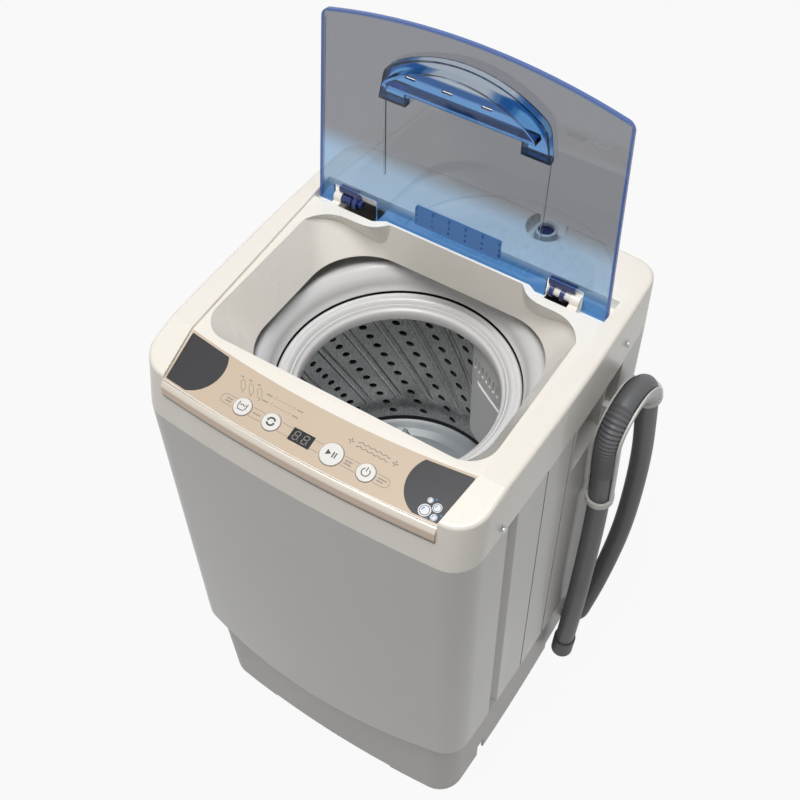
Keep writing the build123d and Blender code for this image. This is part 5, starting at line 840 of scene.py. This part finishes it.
# Centre of each round end, where the lines to it start, and the angle at which its arc starts
OUTLINE_ENDS = ((-101.0 + OUTLINE_HALF, -84.8, 90), (105.0 - OUTLINE_HALF, 88.8, -90))
outline = []
for low, high in OUTLINE_RUNS:
    for v in (-OUTLINE_HALF, OUTLINE_HALF):
        outline.append(stroke((low, v), (high, v), OUTLINE))
for end, near, turn in OUTLINE_ENDS:
    bend = arc_points((end, 0), OUTLINE_HALF, turn, turn + 180, 16)
    first = near, bend[0][1]
    last = near, bend[-1][1]
    outline.append(line_stroke([first, *bend, last], OUTLINE))

# Three slanting level marks, each an outlined bar with a small ring below it
LEVEL_STARTS = (-91.3, -80.9, -70.1)
LEVEL_TOP_V = 24.6
LEVEL_SLANT = (4.7, -6.0)
LEVEL_WIDTHS = (5.0, 3.8)
LEVEL_RING_OFFSET = (1.8, -3.6)
LEVEL_RING_RADIUS = 1.0
for u in LEVEL_STARTS:
    end = u + LEVEL_SLANT[0], LEVEL_TOP_V + LEVEL_SLANT[1]
    for width in LEVEL_WIDTHS:
        outline.append(stroke((u, LEVEL_TOP_V), end, width))
    ring_centre = end[0] + LEVEL_RING_OFFSET[0], end[1] + LEVEL_RING_OFFSET[1]
    outline += ring_loops(ring_centre, LEVEL_RING_RADIUS, LINE)

# Two tracks, each a line between two arcs
TRACKS = ((-50.0, -25.0, 24.6), (-50.0, -26.0, 16.8))
TRACK_LINE_INSET = 3.2
TRACK_ARC_INSET = 2.4
TRACK_ARC_RADIUS = 2.2
for low, high, v in TRACKS:
    outline.append(stroke((low + TRACK_LINE_INSET, v), (high - TRACK_LINE_INSET, v), LINE))
    outline.append(arc_stroke((low + TRACK_ARC_INSET, v), TRACK_ARC_RADIUS, LINE, 110, 250, 12))
    outline.append(arc_stroke((high - TRACK_ARC_INSET, v), TRACK_ARC_RADIUS, LINE, -70, 70, 12))
printed("panel_outlines", outline, PALE_INK)

# Rows of small ticks: the two ends, middle line and height of each. Every third tick is shorter.
TICK = 0.75
TICK_PITCH = 1.25
TALL_TICK = 0.5
SHORT_TICK = 0.36
TICK_ROWS = (
    (-97.0, -92.4, 29.4, 1.4), (-86.6, -82.0, 29.4, 1.4),
    (-75.6, -71.0, 29.4, 1.4), (-60.5, -53.0, 24.6, 1.5),
    (-22.0, -14.0, 24.6, 1.5), (-61.0, -53.5, 16.8, 1.5), (-23.0, -15.0, 16.8, 1.5), (-95.2, -86.8, 1.5, 1.6),
    (-95.2, -86.8, -1.5, 1.6), (-61.0, -51.0, 0.0, 1.6), (52.6, 61.8, 1.6, 1.8), (52.6, 61.8, -1.6, 1.8),
    (91.2, 101.2, 1.5, 1.7), (91.2, 99.6, -1.5, 1.7),
)
marks = []
for low, high, v, height in TICK_ROWS:
    for i in range(int((high - low) / TICK_PITCH)):
        u = low + i * TICK_PITCH
        reach = height * (TALL_TICK if i % 3 else SHORT_TICK)
        marks.append([(u, v - reach), (u + TICK, v - reach), (u + TICK, v + reach), (u, v + reach)])
# Two wavy lines between two stars of four strokes
WAVE_HEIGHT = 0.8
WAVE_TURN = 0.9
WAVE_WIDTH = 0.7
for v in (25.2, 20.4):
    wave = [(u / 2, v + WAVE_HEIGHT * math.sin(u / 2 * WAVE_TURN)) for u in range(106, 183)]
    marks.append(line_stroke(wave, WAVE_WIDTH))
STAR_INNER = 1.2
STAR_OUTER = 2.8
STAR_WIDTH = 1.0
STAR_V = 22.4
for u in (46.0, 98.0):
    for angle in (0, 90, 180, 270):
        tip = Vector((math.cos(math.radians(angle)), math.sin(math.radians(angle))))
        start = u + tip.x * STAR_INNER, STAR_V + tip.y * STAR_INNER
        end = u + tip.x * STAR_OUTER, STAR_V + tip.y * STAR_OUTER
        marks.append(stroke(start, end, STAR_WIDTH))
printed("panel_marks", marks, DARK_BEIGE_INK)

# Seven-segment figures: each segment is a bar with pointed ends, all unlit
SEGMENT = 0.95
FIGURE_WIDTH = 5.4
FIGURE_HEIGHT = 9.6
FIGURE_LEAN = 0.12
SEGMENT_GAP = 0.35
FIGURE_STARTS = (-8.6, 2.4)
POINT_OFFSET = 1.4
POINT_RADIUS = 0.55


def segment(start, end):
    """Bar with pointed ends between two corners of a figure."""
    ahead = Vector((end[0] - start[0], end[1] - start[1])).normalized()
    side = Vector((-ahead.y, ahead.x)) * SEGMENT / 2
    a = Vector(start) + ahead * SEGMENT_GAP
    b = Vector(end) - ahead * SEGMENT_GAP
    inset = ahead * SEGMENT / 2
    return [a, a + inset - side, b - inset - side, b, b - inset + side, a + inset + side]


segments = []
half_height = FIGURE_HEIGHT / 2
for figure_u in FIGURE_STARTS:
    corners = {
        (i, j): (figure_u + i * FIGURE_WIDTH + FIGURE_LEAN * half_height * j, j * half_height)
        for i in (0, 1)
        for j in (-1, 0, 1)
    }
    for j in (-1, 0, 1):
        segments.append(segment(corners[0, j], corners[1, j]))
    for i in (0, 1):
        for j in (-1, 0):
            segments.append(segment(corners[i, j], corners[i, j + 1]))
    point = figure_u + FIGURE_WIDTH + POINT_OFFSET, -half_height
    segments.append(arc_points(point, POINT_RADIUS, 0, 330, 11))
printed("display_segments", segments, DIM_SEGMENT, rise_mm=WINDOW_RISE_MM)

# Icons of the buttons: tub with water, turning arrows, start and pause, and power
u = BUTTON_U["level_button"]
tub_side = [(5.0, 4.4), (4.6, -1.6), (3.0, -4.2)]
tub_line = [(u - across, v) for across, v in tub_side] + [(u + across, v) for across, v in tub_side[::-1]]
water_line = [(u - 3.6 + i * 0.36, 1.6 + 0.8 * math.cos(i * 0.63)) for i in range(21)]
tub_icon = [line_stroke(tub_line, 0.9), line_stroke(water_line, 0.8)]
printed("level_icon", tub_icon, INK, "level_button", BUTTON_RISE_MM)
u = BUTTON_U["program_button"]
turning = []
for first in (25, 205):
    turning.append(arc_stroke((u, 0), 4.2, 1.9, first, first + 128))
    tip, wing_in, wing_out = [
        arc_points((u, 0), radius, angle, angle, 1)[0]
        for radius, angle in ((4.2, first + 164), (2.3, first + 131), (6.1, first + 131))
    ]
    turning.append([wing_out, tip, wing_in])
printed("program_icon", turning, INK, "program_button", BUTTON_RISE_MM)
u = BUTTON_U["start_pause_button"]
start_pause = [
    [(u - 5.6, 3.2), (u - 5.6, -3.2), (u - 0.2, 0)],
    stroke((u + 2.2, -2.7), (u + 2.2, 2.7), 1.3),
    stroke((u + 5.0, -2.7), (u + 5.0, 2.7), 1.3),
]
printed("start_pause_icon", start_pause, INK, "start_pause_button", BUTTON_RISE_MM)
u = BUTTON_U["power_button"]
power = [arc_stroke((u, 0), 4.4, 1.0, 125, 415), stroke((u, 1.2), (u, 5.2), 1.0)]
printed("power_icon", power, INK, "power_button", BUTTON_RISE_MM)

# Thin dark rim on the panel round each button
RIM_RADIUS = 10.45
LARGE_RIM_RADIUS = 12.95
RIM_WIDTH = 0.5
rims = []
for name, u in BUTTON_U.items():
    rims += ring_loops((u, 0), LARGE_RIM_RADIUS if name == "start_pause_button" else RIM_RADIUS, RIM_WIDTH)
printed("button_rims", rims, RIM_INK)

# Bubbles on the right film: white discs with blue crescents and small blue dots
BUBBLES = ((149.0, -5.2, 6.6), (158.6, 2.6, 4.9), (160.6, -7.4, 3.6), (148.6, 6.4, 3.0))
DOTS = ((153.6, 9.6, 1.2), (166.0, -2.6, 1.3), (154.8, -11.2, 1.1))
# Shares of a bubble's radius: the gap inside its ring, its disc and its crescent
BUBBLE_GAP = 0.82
BUBBLE_DISC = 0.70
CRESCENT_RADIUS = 0.42
CRESCENT_WIDTH = 0.16
bubble_rings = []
for u, v, radius in BUBBLES:
    bubble_rings.append(arc_points((u, v), radius, 0, 350, 35))
    bubble_rings.append(arc_points((u, v), radius * BUBBLE_GAP, 350, 0, 35))
    bubble_rings.append(arc_points((u, v), radius * BUBBLE_DISC, 0, 350, 35))
printed("bubble_discs", bubble_rings, WHITE_INK, rise_mm=FILM_RISE_MM)
crescents = [
    arc_stroke((u, v), radius * CRESCENT_RADIUS, radius * CRESCENT_WIDTH, 110, 200, 12)
    for u, v, radius in BUBBLES
]
for u, v, radius in DOTS:
    crescents.append(arc_points((u, v), radius, 0, 345, 23))
printed("bubble_crescents", crescents, BLUE_INK, rise_mm=FILM_RISE_MM + INK_MM)


# ---- Rings round the drum's mouth, turned about the drum's axis: the cover of the tub and the balance ring

# Each profile is a loop of radius and height in metres
TUB_RING_PROFILE = (
    (0.1890, 0.6290), (0.1895, 0.6305), (0.1850, 0.6325), (0.1700, 0.6345), (0.1655, 0.6376),
    (0.1600, 0.6390), (0.1560, 0.6378), (0.1520, 0.6330), (0.1465, 0.6285), (0.1455, 0.6180),
    (0.1440, 0.6100), (0.1425, 0.6085), (0.1425, 0.6070), (0.1450, 0.6075), (0.1475, 0.6110),
    (0.1485, 0.6200), (0.1500, 0.6240), (0.1600, 0.6290),
)
BALANCE_PROFILE = (
    (0.1405, 0.5840), (0.1418, 0.5950), (0.1418, 0.6030), (0.1408, 0.6050), (0.1390, 0.6060),
    (0.1372, 0.6052), (0.1355, 0.6052), (0.1340, 0.6064), (0.1310, 0.6070), (0.1285, 0.6060),
    (0.1268, 0.6030), (0.1256, 0.6012), (0.1240, 0.6012), (0.1228, 0.5990), (0.1216, 0.5975),
    (0.1200, 0.5970), (0.1185, 0.5950), (0.1178, 0.5910), (0.1172, 0.5850), (0.1174, 0.5836),
    (0.1190, 0.5832), (0.1390, 0.5832),
)
RING_STEPS = 128


def turned(name, profile, centre, steps, material, body):
    """Closed ring made by spinning a loop of radius and height about an upright axis."""
    deselect()
    bpy.ops.mesh.primitive_circle_add(vertices=len(profile), radius=0.01)
    ring = bpy.context.object
    ring.name = name
    for vertex, (radius, height) in zip(ring.data.vertices, profile):
        vertex.co = (centre[0] + radius, centre[1], height)
    bpy.ops.object.mode_set(mode="EDIT")
    bpy.ops.mesh.select_all(action="SELECT")
    bpy.ops.mesh.spin(steps=steps, angle=math.tau, center=(*centre, 0), axis=(0, 0, 1))
    bpy.ops.mesh.select_all(action="SELECT")
    bpy.ops.mesh.remove_doubles(threshold=1e-5)
    bpy.ops.mesh.normals_make_consistent(inside=False)
    bpy.ops.object.mode_set(mode="OBJECT")
    bpy.ops.object.shade_smooth_by_angle(angle=math.radians(50))
    ring.data.materials.append(material)
    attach(ring, body)
    return ring


cover_ring = turned("tub_cover_ring", TUB_RING_PROFILE, (0, AXIS_Y), RING_STEPS, RING, "tub")
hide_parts("tub_ring")
balance = turned("drum_balance_ring", BALANCE_PROFILE, (0, AXIS_Y), RING_STEPS, RING, "drum")
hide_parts("balance_ring")


# ---- Trim strip: the half-round bar of the front edge, drawn taller down the face of the cover

trim_strip = bpy.data.objects.new("trim_strip_tall", NODES["front_trim_strip"].data.copy())
bpy.context.scene.collection.objects.link(trim_strip)
select_only(trim_strip)
bpy.ops.object.mode_set(mode="EDIT")
bpy.ops.mesh.select_all(action="SELECT")
bpy.ops.mesh.remove_doubles(threshold=1e-6)
bpy.ops.transform.resize(value=(1, 1, TRIM_STRETCH), center_override=(0, 0, TRIM_TOP_Z))
bpy.ops.object.mode_set(mode="OBJECT")
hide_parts("front_trim_strip")
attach(trim_strip, "housing")


# ---- Small parts: blue strainer in the water inlet and the pan-head screws of the top cover

STRAINER_PROFILE = (
    (0.0006, 0.7010), (0.0006, 0.7060), (0.0022, 0.7066), (0.0028, 0.7040), (0.0044, 0.7040),
    (0.0050, 0.7056), (0.0060, 0.7056), (0.0066, 0.7040), (0.0080, 0.7044), (0.0086, 0.7080),
    (0.0093, 0.7080), (0.0093, 0.7010),
)
STRAINER_PLACE = (0.068, 0.206)
turned("inlet_strainer", STRAINER_PROFILE, STRAINER_PLACE, 32, NAVY, "housing")

SCREW_PLACES = ((0.2118, -0.134, 0.652), (0.2118, 0.137, 0.667))
SCREW_PROFILE = (
    (0.0004, -0.0010), (0.0004, 0.0008), (0.0014, 0.0009), (0.0017, 0.0019), (0.0027, 0.0017),
    (0.0035, 0.0009), (0.0038, 0.0), (0.0038, -0.0010),
)
for number, place in enumerate(SCREW_PLACES, 1):
    screw = turned(f"cover_screw_{number}", SCREW_PROFILE, (0, 0), 20, ZINC, "housing")
    screw.data.transform(Matrix.Translation(place) @ Matrix.Rotation(math.radians(90), 4, "Y"))


# ---- Studio: pale floor, a large soft lamp overhead and a weak one at the right side

# How near to white the floor looks, and how bright the world is as a light and as a background
FLOOR_WHITENESS = 0.93
WORLD_LIGHT = 0.30
WORLD_SEEN = 1.0


def seen_directly(tree):
    """1 for rays from the camera, through clear plastic or off a gloss, 0 for rays that light the object."""
    path = add_node(tree, "ShaderNodeLightPath").node
    seen = path.outputs["Is Camera Ray"]
    for kind in ("Is Transmission Ray", "Is Glossy Ray"):
        seen = add_node(tree, "ShaderNodeMath", {"operation": "MAXIMUM"}, {0: seen, 1: path.outputs[kind]})
    return seen


bpy.ops.mesh.primitive_plane_add(size=12)
floor = bpy.context.object
floor.name = "floor"
# Matt grey card that looks nearly white where the camera sees it, but sends little light up
material, tree, shader, _ = start_material("pale_floor")
shader.inputs["Base Color"].default_value = linear("#A0A0A0")
shader.inputs["Roughness"].default_value = 0.9
white = add_node(tree, "ShaderNodeEmission", {"Color": (1, 1, 1, 1), "Strength": 1.0})
share = add_node(
    tree, "ShaderNodeMath", {"operation": "MULTIPLY", 1: FLOOR_WHITENESS}, {0: seen_directly(tree)},
)
blend = add_node(tree, "ShaderNodeMixShader", {}, {0: share, 1: shader.outputs["BSDF"], 2: white})
tree.links.new(blend, tree.nodes["Material Output"].inputs["Surface"])
floor.data.materials.append(material)

world = bpy.data.worlds.new("studio")
bpy.context.scene.world = world
world.use_nodes = True
tree = world.node_tree
background = tree.nodes["Background"]
background.inputs["Color"].default_value = (1, 1, 1, 1)
strength = add_node(
    tree, "ShaderNodeMapRange",
    {"To Min": WORLD_LIGHT, "To Max": WORLD_SEEN}, {"Value": seen_directly(tree)},
)
tree.links.new(strength, background.inputs["Strength"])


def soft_lamp(name, place, target, size, power):
    """Round area lamp of a size in metres and a power in watts that shines at a point."""
    data = bpy.data.lights.new(name, "AREA")
    data.shape = "DISK"
    data.size = size
    data.energy = power
    lamp = bpy.data.objects.new(name, data)
    bpy.context.scene.collection.objects.link(lamp)
    lamp.location = place
    lamp.rotation_euler = (Vector(target) - Vector(place)).to_track_quat("-Z", "Y").to_euler()


soft_lamp("overhead", place=(0.10, -0.55, 2.8), target=(0, 0, 0.5), size=1.2, power=39.5)
soft_lamp("side_fill", place=(2.2, -0.9, 1.4), target=(0, 0, 0.4), size=1.6, power=0.8)

bpy.context.scene.view_settings.view_transform = "Standard"
